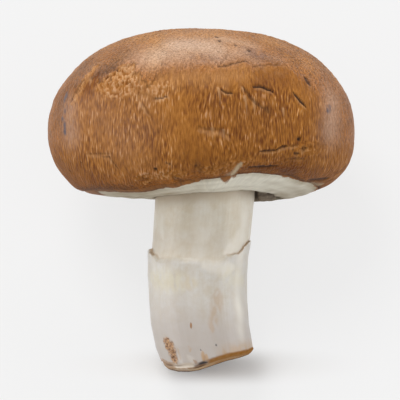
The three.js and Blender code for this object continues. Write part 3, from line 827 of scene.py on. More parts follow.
class MUSHROOM_OT_add_cap(bpy.types.Operator):
    """Adds the cap: its torn, streaked skin, its curled lip and the hollow over the gills"""

    bl_idname = "mushroom.add_cap"
    bl_label = "Add cap"

    def execute(self, context):
        settings = context.scene.mushroom_cap
        angle = columns(settings.columns, front=0.6)[None, :]
        reach, level, wave, arc = skin_profile(settings.rows, 2.2)
        skin = cap_point(angle, reach, level + wave * margin_lift(angle))
        follows_solid("cap", skin[::6, ::12], 0.45)
        outward = facing(skin)
        down = np.gradient(skin, axis=0)
        down /= np.linalg.norm(down, axis=-1, keepdims=True)
        height = skin[..., 2]
        turn = np.broadcast_to(angle, height.shape)
        run = np.broadcast_to(arc, height.shape)
        edge_run = arc[-1, 0]

        def patches(width, length, seed):
            """Noise in patches of this width and length in mm."""
            return grain(turn, run, CAP_RADIUS, width, length, seed)

        def fibrous(width, length, seed):
            """Noise in strips of this width and length in mm, which run with the fibres."""
            return grain(turn_bent, run, CAP_RADIUS, width, length, seed)

        # The fibres wander a little on their way down.
        turn_bent = fibre_angles(skin, turn) + (0.5 * patches(6, 9, 11) + 0.25 * patches(1.8, 3, 12))
        coarse = fibrous(1.0, 4.5, 13)
        middle = fibrous(0.5, 1.7, 14)
        hair = fibrous(0.34, 1.0, 15)

        # The crown's smooth skin, less where it has crumbled, and the streaked belt under its torn edge.
        # The crown's top is painted paler, partly as a highlight.
        top = smooth(-1.0, 6.0, height - crown_edge(turn)) * smooth(44, 50, height)
        top *= mix(summit_pale_and_highlight(turn), 0.65, smooth(51, 55.5, height))
        ragged = 0.75 * patches(1.1, 3, 16) + 0.35 * patches(0.45, 1, 17)
        crown = crown_cover(turn, height, ragged)
        frayed = 0.22 * patches(0.8, 0.8, 31) + 0.14 * patches(0.4, 0.4, 32)
        crumb_zones = [
            smooth(0.38, 0.62, mark_strength(skin, skin_path(path), 1.3 * width) + frayed)
            for width, _, _, path in CAP_CRUMBS
        ]
        any_crumbs = np.maximum.reduce(crumb_zones)
        crown = crown * (1 - 0.8 * any_crumbs)
        under_edge = crown_edge(turn) + 1.2 * ragged - height
        below = smooth(-1.5, 1.5, belt_foot(turn) - height + 1.5 * ragged)
        belt = (1 - crown) * (1 - 0.75 * below)

        # Scales: each swells towards its lower tip and stops there in a small step.
        beat = run / 3.1 + 1.7 * fibrous(0.6, 7, 18) + 0.8 * patches(3, 5, 19)
        beat -= np.floor(beat)
        scale = np.where(beat < 0.85, beat / 0.85, (1 - beat) / 0.15)
        scaly = smooth(-0.3, 0.6, patches(5, 4, 20))
        tips = bell(beat, 0.74, 0.12) * smooth(0.0, 0.5, middle) * (0.35 + 0.65 * scaly)

        # The belt is rougher in some places than in others, and roughest well below the torn edge.
        rough = 0.8 + 0.35 * patches(5, 6, 39) + 0.2 * patches(2, 3, 40)
        for width, change, path in CAP_ROUGHNESS:
            rough += change * zone_strength(skin, skin_path(path), 0.6 * width)
        rough = rough * (1 - 0.7 * any_crumbs)
        rough = np.clip(rough * (0.25 + 0.75 * smooth(-1.0, 3.5, under_edge)), 0.1, 1.3)

        # Relief: soft lumps, fibres, scales, the step of the torn skin and the fine pebbling on top.
        lumps = 0.14 * patches(11, 9, 21) + 0.07 * patches(3.5, 4, 22)
        fibres = 0.35 * coarse + 0.4 * middle + 0.35 * hair
        felt = patches(0.9, 1.0, 23)
        relief = lumps * smooth(edge_run + 0.1, edge_run - 4, run) * (1 - 0.5 * smooth(49, 53, height))
        relief *= smooth(0.5, 6, run)
        relief += settings.fibre_relief / MM * fibres * (0.2 + 0.8 * belt) * rough
        swell = (scale - 0.5) * belt * scaly
        relief += settings.scale_relief / MM * swell * smooth(0.2, 1.2, under_edge) * rough
        blur = np.minimum(torn_blur(turn), 1)
        torn_skin = settings.torn_step / MM * crown * (1 - 0.7 * blur)
        relief += torn_skin - 0.08 - 0.12 * crown * smooth(45, 50, height)
        relief += 0.05 * felt * crown + 0.04 * patches(2.4, 1.5, 24) * (crown + 0.6 * below)
        pebbled = patches(0.5, 0.8, 38) + 0.6 * patches(0.9, 0.6, 33)
        pebbled *= smooth(0.5, 6, run)
        relief += 0.13 * pebbled * crown * top

        # Tufts: the skin that frays just below the torn edge.
        tuft = bell(np.maximum(under_edge, 0), 0, 1.7) * (1 - crown) * (1 - 0.8 * blur)
        tuft *= smooth(-0.3, 0.6, patches(0.8, 1.4, 25) + 0.5 * patches(6, 9, 26))
        relief += 0.1 * tuft * patches(0.6, 1.1, 27)

        # The skin is paler where it has only just been laid bare, under the torn edge.
        fresh = smooth(-0.6, 0.6, under_edge) * smooth(5.0, 2.0, under_edge) * (1 - crown)
        fresh *= smooth(-132, -118, turn) * smooth(-66, -74, turn) * (0.8 + 0.3 * middle)
        pale = np.maximum(0.55 * tuft, 0.22 * fresh)
        # Painted shadow: a thin dark line just under the torn edge, except where it runs out softly.
        split = 0.4 * bell(under_edge, 0.1, 0.2) * (1 - blur)

        # Marks, specks and bruises, with uneven edges, and flesh where the skin is torn through.
        wobbly = skin + 0.12 * patches(0.8, 0.8, 26)[..., None] * down
        relief, split, pale = carve_marks(wobbly, relief, split, pale)
        cloudy = smooth(-0.5, 0.5, patches(1.2, 1.2, 27) + 0.25)
        bruise = np.maximum.reduce([
            strength * cloudy * mark_strength(skin, skin_path(path), width)
            for width, strength, path in CAP_BRUISES
        ])
        bare = np.maximum.reduce([
            strength * mark_strength(wobbly, skin_path(path), width) for width, strength, path in CAP_BARE
        ])
        relief += 0.08 * bare

        # Crumbs of skin, and the painted highlights on the skin that is still smooth, which also pale one run
        # of crumbs.
        crumb = patches(0.52, 0.6, 36) + 0.7 * patches(0.34, 0.34, 37)
        relief, pale, crumbled = crumble(crumb_zones, crumb, ragged, relief, pale)
        highlight_and_pale = np.maximum.reduce([
            strength * zone_strength(skin, skin_path(path), 0.5 * width)
            for width, strength, path in CAP_HIGHLIGHTS_AND_PALE
        ])
        highlight_and_pale *= 1 - 0.75 * (1 - crown) * smooth(44, 46, height)

        # The margin is ragged: the skin ends a little higher or lower from place to place, is a little fuller
        # on the left, and loses most of its relief at the very edge.
        level_run = run * 0
        ragged_edge = 0.22 * grain(turn, level_run, CAP_RADIUS, 5, 1, 28)
        ragged_edge += 0.12 * grain(turn, level_run, CAP_RADIUS, 1.3, 1, 29)
        shift = ragged_edge * smooth(edge_run - 2.5, edge_run, run)
        full = around([(-178, 0.25), (-160, 0.3), (-150, 0.2), (-135, 0), (-30, 0), (0, 0.1), (120, 0)])
        relief += full(turn) * smooth(edge_run - 5, edge_run - 1, run)
        relief *= smooth(edge_run + 0.1, edge_run - 0.9, run) * 0.8 + 0.2
        skin = skin + outward * relief[..., None] + down * shift[..., None]

        # Tone: lighter on what stands up and darker between, partly paler fibres and partly painted light and
        # shade on the relief, with blotches, and dark along the margin.
        blotch = patches(4.5, 5, 34) + 0.6 * patches(2.2, 3, 35)
        blotch *= smooth(0.5, 6, run)
        tone = 0.45 + 0.12 * pebbled * crown * top + 0.20 * fibres * (0.35 + 0.65 * belt)
        tone += 0.10 * swell
        tone += 0.10 * tips * belt + 0.09 * blotch - 0.06 * below + crumbled
        for width, change, path in CAP_PATCHES:
            tone += change * zone_strength(skin, skin_path(path), 0.6 * width)
        belly = 0.7 * smooth(6.5, 0.3, edge_run - run) * (0.75 + 0.25 * cloudy)
        belly *= 1 - 0.85 * any_crumbs
        # Painted shadow: a dark line along the skin's end, except where skin runs on over the veil.
        rim_dark = smooth(0.9, 0.1, edge_run - run + 0.3 * felt)
        split = np.maximum(split, 0.5 * rim_dark * smooth(0.6, 0, skin_over(turn)) * (1 - bare))
        # Painted shade: a dark band along the skin's last 2 mm on the left, where the margin meets the veil.
        shade_line = smooth(1.8, 0.4, edge_run - run + 0.4 * felt)
        shade_line = shade_line * smooth(-116, -128, turn) * smooth(-172, -160, turn)
        split = np.maximum(split, 0.42 * shade_line)

        # The cap's inside carries on from the skin's ragged edge.
        inside = cap_inside(angle)
        inside[0] = inside[0] + (down * shift[..., None])[-1:]
        points = np.concatenate([skin] + inside, axis=0)
        rows, count = points.shape[:2]
        peak = points[0].mean(axis=0)
        vertices = np.concatenate([points.reshape(-1, 3), [peak, cap_point(0.0, 0.0, CEILING)]])
        faces = fan_ended(rows, count)
        skin_faces = settings.rows * count
        kinds = [0] * skin_faces + [1] * ((rows - 1) * count - skin_faces) + [0, 1] * count

        wide = CAP_RADIUS * np.minimum(np.maximum(reach, 0.02) / 0.82, 1)
        grain_mm = pattern_place(turn_bent, wide, run)
        values = {
            "grain": grain_mm, "tone": tone, "crown": crown, "top": top, "belly": belly, "pale": pale,
            "highlight_and_pale": highlight_and_pale, "bare": bare, "bruise": bruise, "split": np.clip(split, 0, 1), "rough": rough,
        }
        for label, data in values.items():
            shape = (len(inside) * count + 2,) + data.shape[2:]
            values[label] = np.concatenate([data.reshape((-1,) + data.shape[2:]), np.zeros(shape)])
        peak_at = rows * count
        values["crown"][peak_at] = values["top"][peak_at] = 1
        values["tone"][peak_at] = 0.5
        values["grain"][peak_at] = (0, 0, 0)
        materials = [cap_skin_material(settings), flesh_material(settings)]
        add_piece("cap_skin_and_flesh", vertices, faces, materials, "cap", values, kinds)
        return {"FINISHED"}


# ---------------------------------------------------------------- the stem

# Height of the line where the torn veil once joined the stem: the skin under it stands out as a thin sleeve.
ring_line = around(
    [(-167.8, 20.24), (-165.5, 19.5), (-151.8, 19.0), (-143, 18.43), (-133.7, 18.43), (-124.6, 18.6)]
    + [(-103.7, 18.5), (-84.8, 18.3), (-67.7, 18.05), (-53.8, 18.9), (-39.6, 19.2), (-32.3, 19.7)]
    + [(-27.7, 20.5), (-16, 21.2), (-11, 21.5), (0, 21.5), (60, 20.7), (120, 21.1), (165, 20.4)]
)
# How dark the crease above the sleeve is.
ring_shadow = around(
    [(-172, 0.7), (-160, 0.9), (-150, 0.5), (-138, 0.2), (-120, 0.12), (-90, 0.05), (-62, 0.1), (-52, 0.6)]
    + [(-40, 0.9), (-10, 1), (40, 0.6), (90, 0.8), (140, 0.6)]
)

# Stains on the front of the stem: kind, width in mm, strength and (x across, height) points. Some of the
# white ones are painted highlights: on the heel and down the left of the neck.
STEM_STAINS = [
    ("rust", 0.34, 1.0, [(-1.72, 7.75), (-1.7, 6.9)]),
    ("tan", 2.2, 0.45, [(2.6, 12.8), (2.6, 11.2), (2.1, 8.8)]),
    ("tan", 1.7, 0.45, [(2.1, 9.4), (1.7, 6.5)]),
    ("tan", 2.6, 0.22, [(-2.2, 14.9), (-2, 13.4)]),
    ("yellow", 3.8, 0.36, [(-8, 15.4), (-5.6, 14.7), (-1.6, 14.2)]),
    ("yellow", 4.0, 0.25, [(3.4, 16), (6.5, 15)]),
    ("tan", 0.8, 0.6, [(-2.1, 3.9), (-1.9, 3.2)]),
    ("tan", 0.5, 0.5, [(-3.9, 3.6), (-3.5, 2.6), (-3.4, 1.9)]),
    ("tan", 0.7, 1.0, [(0.1, 3.1), (0.3, 2.3), (0.4, 1.5)]),
    ("rust", 0.5, 0.3, [(0.5, 2.4), (0.6, 1.5)]),
    ("tan", 0.6, 0.9, [(0.75, 2.6), (0.95, 1.6)]),
    ("rust", 0.5, 0.5, [(-1.3, 1.7), (-0.9, 1.4), (-1.0, 1.0)]),
    ("dark", 0.62, 1.0, [(-0.5, 0.95), (0.3, 1.2), (1.1, 1.25)]),
    ("dark", 0.40, 1.0, [(-1.3, 0.7), (-0.9, 0.6), (-0.45, 0.9)]),
    ("dark", 0.26, 0.7, [(-1.7, 0.55), (-1.2, 0.3), (-0.6, 0.35)]),
    ("dark", 0.30, 0.9, [(2.32, 4.2), (2.5, 4.1)]),
    ("dark", 0.22, 0.8, [(-0.15, 3.4), (-0.1, 3.25)]),
    ("dark", 0.24, 0.5, [(-6.3, 1.3), (-4.6, 0.85), (-2.9, 0.8)]),
    ("brown", 0.9, 0.9, [(-6.6, 1.1), (-5.4, 0.7), (-4.4, 0.55)]),
    ("brown", 1.6, 0.35, [(-5.7, 4.8), (-4.8, 3.2), (-4.1, 1.6)]),
    # painted highlight on the heel
    ("white", 0.9, 0.7, [(-3.4, 0.45), (-2.2, 0.5), (-1.2, 0.6)]),
    ("white", 1.0, 0.18, [(-2.2, 2.4), (-1.6, 1.8), (-1.4, 1.2)]),
    ("white", 1.0, 0.15, [(-3.9, 2.6), (-3.2, 1.4)]),
    ("white", 1.2, 0.45, [(-6.4, 25.5), (-6.6, 23.4), (-6.3, 21.8)]),
    ("white", 2.6, 0.55, [(4.0, 19.2), (5.6, 20.4), (6.3, 22.6)]),
    ("white", 2.6, 0.45, [(0.5, 17.1), (3.2, 16.8), (5.0, 16.9)]),
    # painted highlight down the left of the neck
    ("white", 1.6, 0.25, [(-6.2, 32), (-6.4, 28), (-6.6, 22)]),
    ("white", 5.0, 0.28, [(0.2, 26.5), (0.2, 22)]),
]

# The scab of dried skin low on the left, from its top to its foot.
SCAB = [(-5.7, 4.9), (-5.0, 3.7), (-4.4, 1.9)]

# The cut's rounded edge: how far up the side it starts in mm, and the share of the radius it takes off.
EDGE_RISE, EDGE_INSET = 0.7, 0.085
NECK_ROWS, EDGE_ROWS, FACE_ROWS = 44, 8, 25


def on_stem_front(x, height):
    """The point of the stem's front at this x across and this height."""
    centre = np.interp(height, STEM_LINE[:, 0], STEM_LINE[:, 1])
    reach = np.interp(height, STEM_LINE[:, 0], STEM_LINE[:, 2])
    return stem_point(-math.degrees(math.acos(np.clip((x - centre) / reach, -1, 1))), height)


def stem_path(spots):
    """The points of the stem's front at a list of (x across, height) spots."""
    return np.array([on_stem_front(*spot) for spot in spots])


class StemSettings(bpy.types.PropertyGroup):
    """Sizes and colours of the stem."""

    columns: bpy.props.IntProperty(
        name="Columns", description="Points round the stem, closer together at the front",
        default=360, min=64, max=420,
    )
    rows: bpy.props.IntProperty(
        name="Rows", description="Rows of points from the ring line to the cut", default=130, min=30, max=160
    )
    lip: millimetres("Sleeve's lip", "How far the torn edge of the sleeve curls out", 0.14, 0, 0.5)
    neck: colour("Neck", "Colour of the stem between the cap and the ring line", "#D7D0C2")
    sleeve: colour("Sleeve", "Colour of the stem under the ring line", "#C9C5BF")
    # Painted highlight: the colour of the pale bands down the stem's sides and of the white stains.
    flank: colour("Sides", "Colour of the stem's paler sides", "#E4DFD5")
    # The next three colours also paint shade: close under the veil, and, the tan one, in the crease over the
    # sleeve.
    low: colour("Foot", "Colour of the stem near its foot", "#ACA29B")
    yellow: colour("Yellowing", "Colour of the yellowed flesh", "#CFC6A4")
    tan: colour("Tan smears", "Colour of the pale brown smears", "#AE9070")
    rust: colour("Rust", "Colour of the browned cut edge", "#8A5A1E")
    dark: colour("Specks", "Colour of the dark specks", "#3B3A3C")
    cut: colour("Cut", "Colour of the knife's cut", "#C2A98A")


def stem_material(name, settings, waxy):
    """Cremini stem: pale, waxy flesh, pulled into faint fibres along the stem. It is nearly white and softly
    translucent, has a dull gloss, and goes rusty brown where it was cut or rubbed. Cut flesh has no wax and
    is matt."""
    material, tree, shader = new_material(name)
    kept = {
        name: add(tree, "ShaderNodeAttribute", attribute_name=name).outputs["Fac"]
        for name in ("neck", "low", "flank", "yellow", "tan", "cut", "rust", "scab", "dark")
    }
    grain_mm = add(tree, "ShaderNodeAttribute", attribute_name="grain").outputs["Vector"]
    # Fibres 0.5 mm wide and 8 mm long.
    along = add(tree, "ShaderNodeVectorMath", {0: grain_mm, 1: (2.0, 2.0, 0.125)}, operation="MULTIPLY")
    fibre = add(tree, "ShaderNodeTexNoise", {"Vector": along.outputs[0], "Scale": 1.0, "Detail": 3.0,
                                             "Roughness": 0.6})
    # Clouds 2 mm wide, and speckles 0.35 mm wide for the scab.
    cloud = add(tree, "ShaderNodeTexNoise", {"Vector": grain_mm, "Scale": 0.45, "Detail": 4.0,
                                             "Roughness": 0.7})
    speckle = add(tree, "ShaderNodeTexNoise", {"Vector": grain_mm, "Scale": 2.9, "Detail": 2.0})

    streak = add(tree, "ShaderNodeMapRange", {0: fibre.outputs[0], 1: 0.3, 2: 0.7})
    streaks = add(tree, "ShaderNodeMix", {0: streak.outputs[0], 6: linear("#F9F7F4"), 7: linear("#FFFFFF")},
                  data_type="RGBA")
    cloudy = add(tree, "ShaderNodeMapRange", {0: cloud.outputs[0], 1: 0.35, 2: 0.65})
    clouds = add(tree, "ShaderNodeMix", {0: cloudy.outputs[0], 6: linear("#F1EBE0"), 7: linear("#FDFEFF")},
                 data_type="RGBA")
    crumb = add(tree, "ShaderNodeMapRange", {0: speckle.outputs[0], 1: 0.34, 2: 0.66})
    scab = add(tree, "ShaderNodeMix", {0: crumb.outputs[0], 6: linear("#5E3A1C"), 7: linear("#BA9168")},
               data_type="RGBA")
    flesh = tuple(settings.sleeve)
    for share, over, how in (
        (kept["neck"], tuple(settings.neck), "MIX"),
        (1.0, streaks.outputs[2], "MULTIPLY"),
        (1.0, clouds.outputs[2], "MULTIPLY"),
        (kept["low"], tuple(settings.low), "MIX"),
        (kept["flank"], tuple(settings.flank), "MIX"),
        (kept["yellow"], tuple(settings.yellow), "MIX"),
        (kept["tan"], tuple(settings.tan), "MIX"),
        (kept["cut"], tuple(settings.cut), "MIX"),
        (kept["rust"], tuple(settings.rust), "MIX"),
        (kept["scab"], scab.outputs[2], "MIX"),
        (kept["dark"], tuple(settings.dark), "MIX"),
    ):
        flesh = add(tree, "ShaderNodeMix", {0: share, 6: flesh, 7: over},
                    data_type="RGBA", blend_type=how).outputs[2]
    tree.links.new(flesh, shader.inputs["Base Color"])
    dull = add(tree, "ShaderNodeMath", {0: fibre.outputs[0], 1: 0.2, 2: 0.38 if waxy else 0.65},
               operation="MULTIPLY_ADD")
    tree.links.new(dull.outputs[0], shader.inputs["Roughness"])
    shader.inputs["IOR"].default_value = 1.40
    shader.inputs["Specular IOR Level"].default_value = 0.5 if waxy else 0.0
    shader.inputs["Coat Weight"].default_value = 0.35 if waxy else 0.0
    shader.inputs["Coat Roughness"].default_value = 0.3
    shader.inputs["Subsurface Weight"].default_value = 0.15 if waxy else 0.0
    shader.inputs["Subsurface Radius"].default_value = (1.0, 0.8, 0.6)
    shader.inputs["Subsurface Scale"].default_value = 1.0 * MM
    bump = add(tree, "ShaderNodeBump", {"Strength": 0.25, "Distance": 0.1 * MM, "Height": fibre.outputs[0]})
    tree.links.new(bump.outputs["Normal"], shader.inputs["Normal"])
    return material


def stem_rows(settings, angle, ring):
    """Rows of points down the neck, over the sleeve's torn edge, down the sleeve, round the cut's edge and in
    to the middle of its face. Gives them, each row's share of the neck, and how many rows are on the side."""
    step = ring_step(angle)
    foot = foot_point(angle, 1.0)[..., 2]
    rows, neck = [], []
    for share in np.linspace(0, 1, NECK_ROWS):
        rows.append(stem_point(angle, mix(STEM_TOP, ring, share)))
        neck.append(1.0)
    sharp = ring_shadow(angle)
    fall = 0.12 + 1.1 * (1 - sharp)
    for share in (0.15, 0.3, 0.5, 0.7, 0.85, 1.0):
        out = step * mix(smooth(0, 1, share), math.sin(share * math.pi / 2), sharp)
        curl = settings.lip / MM * math.sin(share * math.pi) * sharp
        rows.append(stem_point(angle, ring - fall * share + curl, out))
        neck.append(1 - smooth(0, 0.9, share))
    for share in np.linspace(0, 1, settings.rows)[1:]:
        share = share**1.15
        height = mix(ring - fall, foot + EDGE_RISE, share)
        rows.append(stem_point(angle, height, step * (1 - share) ** 6))
        neck.append(0.0)
    for share in np.linspace(0, 1, EDGE_ROWS + 1)[1:]:
        point = foot_point(angle, 1 - EDGE_INSET * share**2)
        point[..., 2] += EDGE_RISE * (1 - share) ** 2
        rows.append(point)
        neck.append(0.0)
    side_rows = len(rows)
    for shrink in np.linspace(1 - EDGE_INSET, 0.04, FACE_ROWS + 1)[1:]:
        rows.append(foot_point(angle, shrink))
        neck.append(0.0)
    return np.stack([row.reshape(-1, 3) for row in rows]), np.array(neck)[:, None], side_rows


def stain_cut(stains, stem, on_side, front, cloudy, rough, patchy):
    """Adds the cut's stains to the stem's: a rusty rim on the right over a strip of browned face, a pale heel
    on the left whose low front is a painted highlight, and a browned face, darker at its back edge partly as
    painted shade. Gives where the flesh is cut, and where its heel is sunk."""
    x, depth = stem[..., 0], stem[..., 1]
    over_cut = stem[..., 2] - cut_height(x)
    face = 1 - on_side
    right = smooth(0.3, 1.6, x)
    rim = smooth(0.85, 0.55, over_cut + rough) * smooth(0.05, 0.25, over_cut + rough) * right * on_side
    rim *= 0.9 - 0.25 * smooth(0.45, 0.75, over_cut + rough) + 1.2 * rough
    strip = smooth(0.45, 0.25, over_cut + rough) * right * on_side
    above_rim = 0.7 * smooth(2.8, 0.9, over_cut - 2 * rough) * smooth(1.8, 4.0, x)
    heel = smooth(1.05, 0.85, over_cut + rough) * smooth(-0.9, -1.6, x)
    heel_line = smooth(0.26, 0.10, over_cut) * smooth(0.6, -0.4, x) * on_side
    heel_line = heel_line * smooth(-0.6, 0.2, rough * 8)
    heel_end = heel * smooth(-4.0, -5.2, x)

    # The face has browned on the right and in a ring round its edge, widest at the back. The dark at that
    # back edge, where the stem meets the table, is partly browning and partly painted shade.
    out = np.hypot((x - 1.3) / 6.9, depth / 6.6) + 0.06 * patchy
    behind = smooth(-2, 3, depth)
    ring = smooth(0.86 - 0.34 * behind, 1.0 - 0.22 * behind, out)
    ring = 0.9 * ring * np.maximum(behind, smooth(-1, 2, x))
    on_right = 0.6 * smooth(-2.5, 3.5, x + 1.2 * patchy) + 0.12 * patchy
    under_specks = bell(x, -0.3, 1.3) * smooth(0.45, 0.8, out)
    browned = face * np.maximum.reduce([on_right, ring, under_specks])
    # Painted shade, partly browning: darker in the face's outer crescent at the back and on the side's back
    # edge, where they meet the table; in front the face has dark specks.
    specks_and_back_shade = face * mix(0.75 * under_specks, 0.7 * smooth(0.68, 0.92, out), behind)
    back_edge = on_side * smooth(2, 6, depth) * smooth(0.8, 0.3, over_cut)
    bitten = on_side * front * bell(x + 3 * rough, 0.1, 1.1) * smooth(0.65, 0.4, over_cut)

    for kind, found in (
        ("tan", [above_rim * (0.4 + 0.6 * cloudy) * on_side]),
        ("rust", [rim, 0.85 * strip, 0.75 * heel_line, 0.6 * heel_end]),
        ("rust", [browned, 0.95 * back_edge, 0.85 * bitten]),
        ("dark", [specks_and_back_shade, 0.5 * back_edge, 0.45 * bitten]),
        # painted highlight on the heel's low front
        ("white", [on_side * front * heel * smooth(0.5, 0.3, over_cut)]),
    ):
        stains[kind] = np.maximum.reduce([stains[kind]] + found)
    cut = np.maximum.reduce([strip, 0.35 * heel, face * (1 - 0.5 * smooth(-0.5, -2.5, x + patchy))])
    return cut, heel * (1 - heel_line)


class MUSHROOM_OT_add_stem(bpy.types.Operator):
    """Adds the stem: its smooth neck, the sleeve under the ring line, and the slanted cut"""

    bl_idname = "mushroom.add_stem"
    bl_label = "Add stem"

    def execute(self, context):
        settings = context.scene.mushroom_stem
        angle = columns(settings.columns, front=0.5)[None, :]
        ring = ring_line(angle) + 0.10 * grain(angle, angle * 0, STEM_RADIUS, 1.2, 1, 41)
        stem, neck, side_rows = stem_rows(settings, angle, ring)
        follows_solid("stem", stem[::5, ::10], 0.6)
        outward = facing(stem)
        x, depth, height = stem[..., 0], stem[..., 1], stem[..., 2]
        turn = np.broadcast_to(angle, height.shape)
        ring = np.broadcast_to(ring, height.shape)
        row = np.arange(len(stem))[:, None]
        neck = np.broadcast_to(neck, height.shape)
        on_side = (row < side_rows).astype(float) * np.ones_like(height)

        def patches(width, length, seed):
            """Noise on the stem's side, in patches of this width and length in mm."""
            return grain(turn, height, STEM_RADIUS, width, length, seed)

        def face_patches(width, length, seed):
            """Noise on the cut face. A millimetre across it is drawn as 8 degrees, or 1.1 mm, of the ring."""
            return grain(x * STEM_RADIUS, depth, STEM_RADIUS, width, length, seed)

        # Soft unevenness along the side, and a fine grain on the cut face.
        relief = 0.05 * patches(5, 7, 42) + 0.025 * patches(1.4, 6, 43)
        relief += 0.012 * patches(0.6, 4, 44)
        relief *= on_side
        relief += 0.015 * (1 - on_side) * face_patches(1, 1.3, 45)

        # A shallow crease over the sleeve, and folds where it is puckered.
        over = height - ring
        relief -= 0.10 * neck * bell(over, 0, 0.5) * ring_shadow(turn)
        relief += 0.06 * (1 - neck) * bell(over, -0.9, 1.0) * patches(2.0, 3, 46) * on_side

        # Stains on the front, and a shadow in the crease over the sleeve.
        stains = {kind: np.zeros_like(height) for kind in ("yellow", "tan", "brown", "rust", "dark", "white")}
        cloudy = smooth(-0.6, 0.4, patches(0.7, 1.4, 47) + 0.2)
        for kind, width, strength, path in STEM_STAINS:
            soft = cloudy if kind in ("tan", "yellow") else 1
            found = strength * soft * mark_strength(stem, stem_path(path), width)
            stains[kind] = np.maximum(stains[kind], found)
        relief -= 0.12 * stains["dark"]
        near_ring = (row > NECK_ROWS - 14) * (row < NECK_ROWS + 16)
        shadow = ring_shadow(turn) * bell(over, 0.06, 0.16) * near_ring
        stains["tan"] = np.maximum(stains["tan"], 0.9 * shadow)
        stains["rust"] = np.maximum(stains["rust"], 0.7 * stains["brown"])

        # The scab, rough and a little raised.
        gap, share = distance_to(stem, stem_path(SCAB))
        uneven = 0.30 * patches(0.5, 0.6, 48)
        scab = 1 - smooth(0.60, 1.30, gap + uneven + 0.5 * np.abs(share - 0.4))
        relief += 0.14 * scab * patches(0.45, 0.5, 49)

        # The cut edge and its face, with the heel a little sunk.
        front = smooth(0.35, -0.2, depth / STEM_RADIUS)
        rough = 0.10 * patches(0.8, 0.8, 50)
        patchy = face_patches(2.4, 2.4, 52) + 0.5 * face_patches(0.8, 0.8, 53)
        cut, heel = stain_cut(stains, stem, on_side, front, cloudy, rough, patchy)
        relief -= 0.05 * heel

        stem = stem + outward * relief[..., None]
        rows, count = stem.shape[:2]
        ends = [stem_point(0.0, STEM_TOP, 0.0, 0.0), foot_point(0.0, 0.0)]
        vertices = np.concatenate([stem.reshape(-1, 3), np.array(ends).reshape(-1, 3)])
        faces = fan_ended(rows, count)
        grain_mm = pattern_place(turn, STEM_RADIUS, height)
        grain_mm[side_rows:] = stem[side_rows:] * [1, 1, 4]

        # The stem is darker near its foot and just over the ring.
        low = 0.8 * smooth(13.5 + 2.5 * smooth(0, -5, x), 5, height)
        low = np.maximum(low, 0.25 * bell(height, 20.5, 2.6) * neck * smooth(6, 3, x) * front)
        # Painted shade close under the veil: the neck is drawn darker and yellower there.
        shade_under_veil = smooth(26.4, 29.2, height - 0.107 * x) ** 1.3 * neck
        low = np.maximum(low, 0.9 * shade_under_veil)
        stains["yellow"] = np.maximum(stains["yellow"], 0.45 * shade_under_veil)
        stains["tan"] = np.maximum(stains["tan"], 0.38 * shade_under_veil)
        # Painted highlights: two pale bands down its sides, and the white stains, some of which are painted
        # highlights too, are drawn with them.
        across = np.cos(np.radians(turn))
        flank = 0.20 * bell(across, -0.86, 0.10) * (1 - 0.6 * smooth(14, 6, height))
        flank += 0.60 * bell(across, 0.82, 0.09) * smooth(3, 8, height) * smooth(30, 24, height)
        flank *= on_side
        flank = np.maximum(flank * (1 + 0.6 * patches(2.5, 3, 51)), stains["white"])
        values = {
            "grain": grain_mm, "neck": neck, "low": low, "flank": flank, "yellow": stains["yellow"],
            "tan": stains["tan"], "rust": stains["rust"], "dark": stains["dark"], "cut": cut, "scab": scab,
        }
        for label, data in values.items():
            flat = data.reshape((-1,) + data.shape[2:])
            values[label] = np.concatenate([flat, flat[:1], flat[-1:]])
        waxy = count * (side_rows - EDGE_ROWS - 1)
        kinds = [0] * waxy + [1] * (count * (rows - 1) - waxy) + [0, 1] * count
        skins = [stem_material("cremini_stem_waxy_flesh", settings, True),
                 stem_material("cremini_stem_cut_flesh", settings, False)]
        add_piece("stem_flesh", vertices, faces, skins, "stem", values, kinds)
        return {"FINISHED"}


# ---------------------------------------------------------------- the veil


def veil_point(angle, share, thickness, torn):
    """A point of the veil, a share of the way from the cap's edge to the veil's torn inner edge."""
    rim = cap_point(angle, VEIL_REACH, 0 * angle)
    point = mix(rim, stem_point(angle, 29.0, GAP + torn), np.asarray(share)[..., None])
    point[..., 2] = underside_height(point, angle) + thickness
    return point


# Rings of the veil in mm: its torn edge, its middle, the one its threads are spaced on, and its rim.
TORN_RADIUS, MIDDLE_RADIUS, THREAD_RADIUS, RIM_RADIUS = 11, 14, 16, 19
# Where the veil starts, tucked in under the cap's edge, as a share of the way in from its rim.
PAST_RIM = -0.035

# Scraps of skin that hang over the veil: width in mm, strength, and (angle, mm in from the rim) points.
VEIL_SCRAPS = [
    (2.2, 0.90, [(-77.6, -0.4), (-76.8, 1.0), (-75.8, 2.2), (-75.6, 3.4)]),
    (1.4, 0.80, [(-73.2, -0.4), (-72.6, 1.2)]),
    (0.8, 0.50, [(-60, -0.4), (-54, 0.2), (-48, 0.1)]),
]


class VeilSettings(bpy.types.PropertyGroup):
    """Sizes and colours of the veil."""

    columns: bpy.props.IntProperty(
        name="Columns", description="Points round the veil", default=420, min=72, max=600
    )
    folds: millimetres("Folds", "How far the veil's folds stand out", 0.16, 0, 0.4)
    light: colour("Veil", "Colour of the veil where it is whitest", "#DDD8C8")
    # Painted shade: the colour of the veil where it lies in shade.
    shade: colour("Old veil", "Colour of the veil where it is greyer", "#9F9077")
    torn: colour("Torn edge", "Colour of the veil's torn edge", "#8F8370")
    skin: colour("Skin", "Colour of the thin skin that runs on over the veil's rim", "#7B4A16")
    # Painted shade: the colour of the dark line along the skin's edge on the left, over the veil.
    shade_line: colour("Dried edge", "Colour of the dried edge of that skin", "#4A2A10")


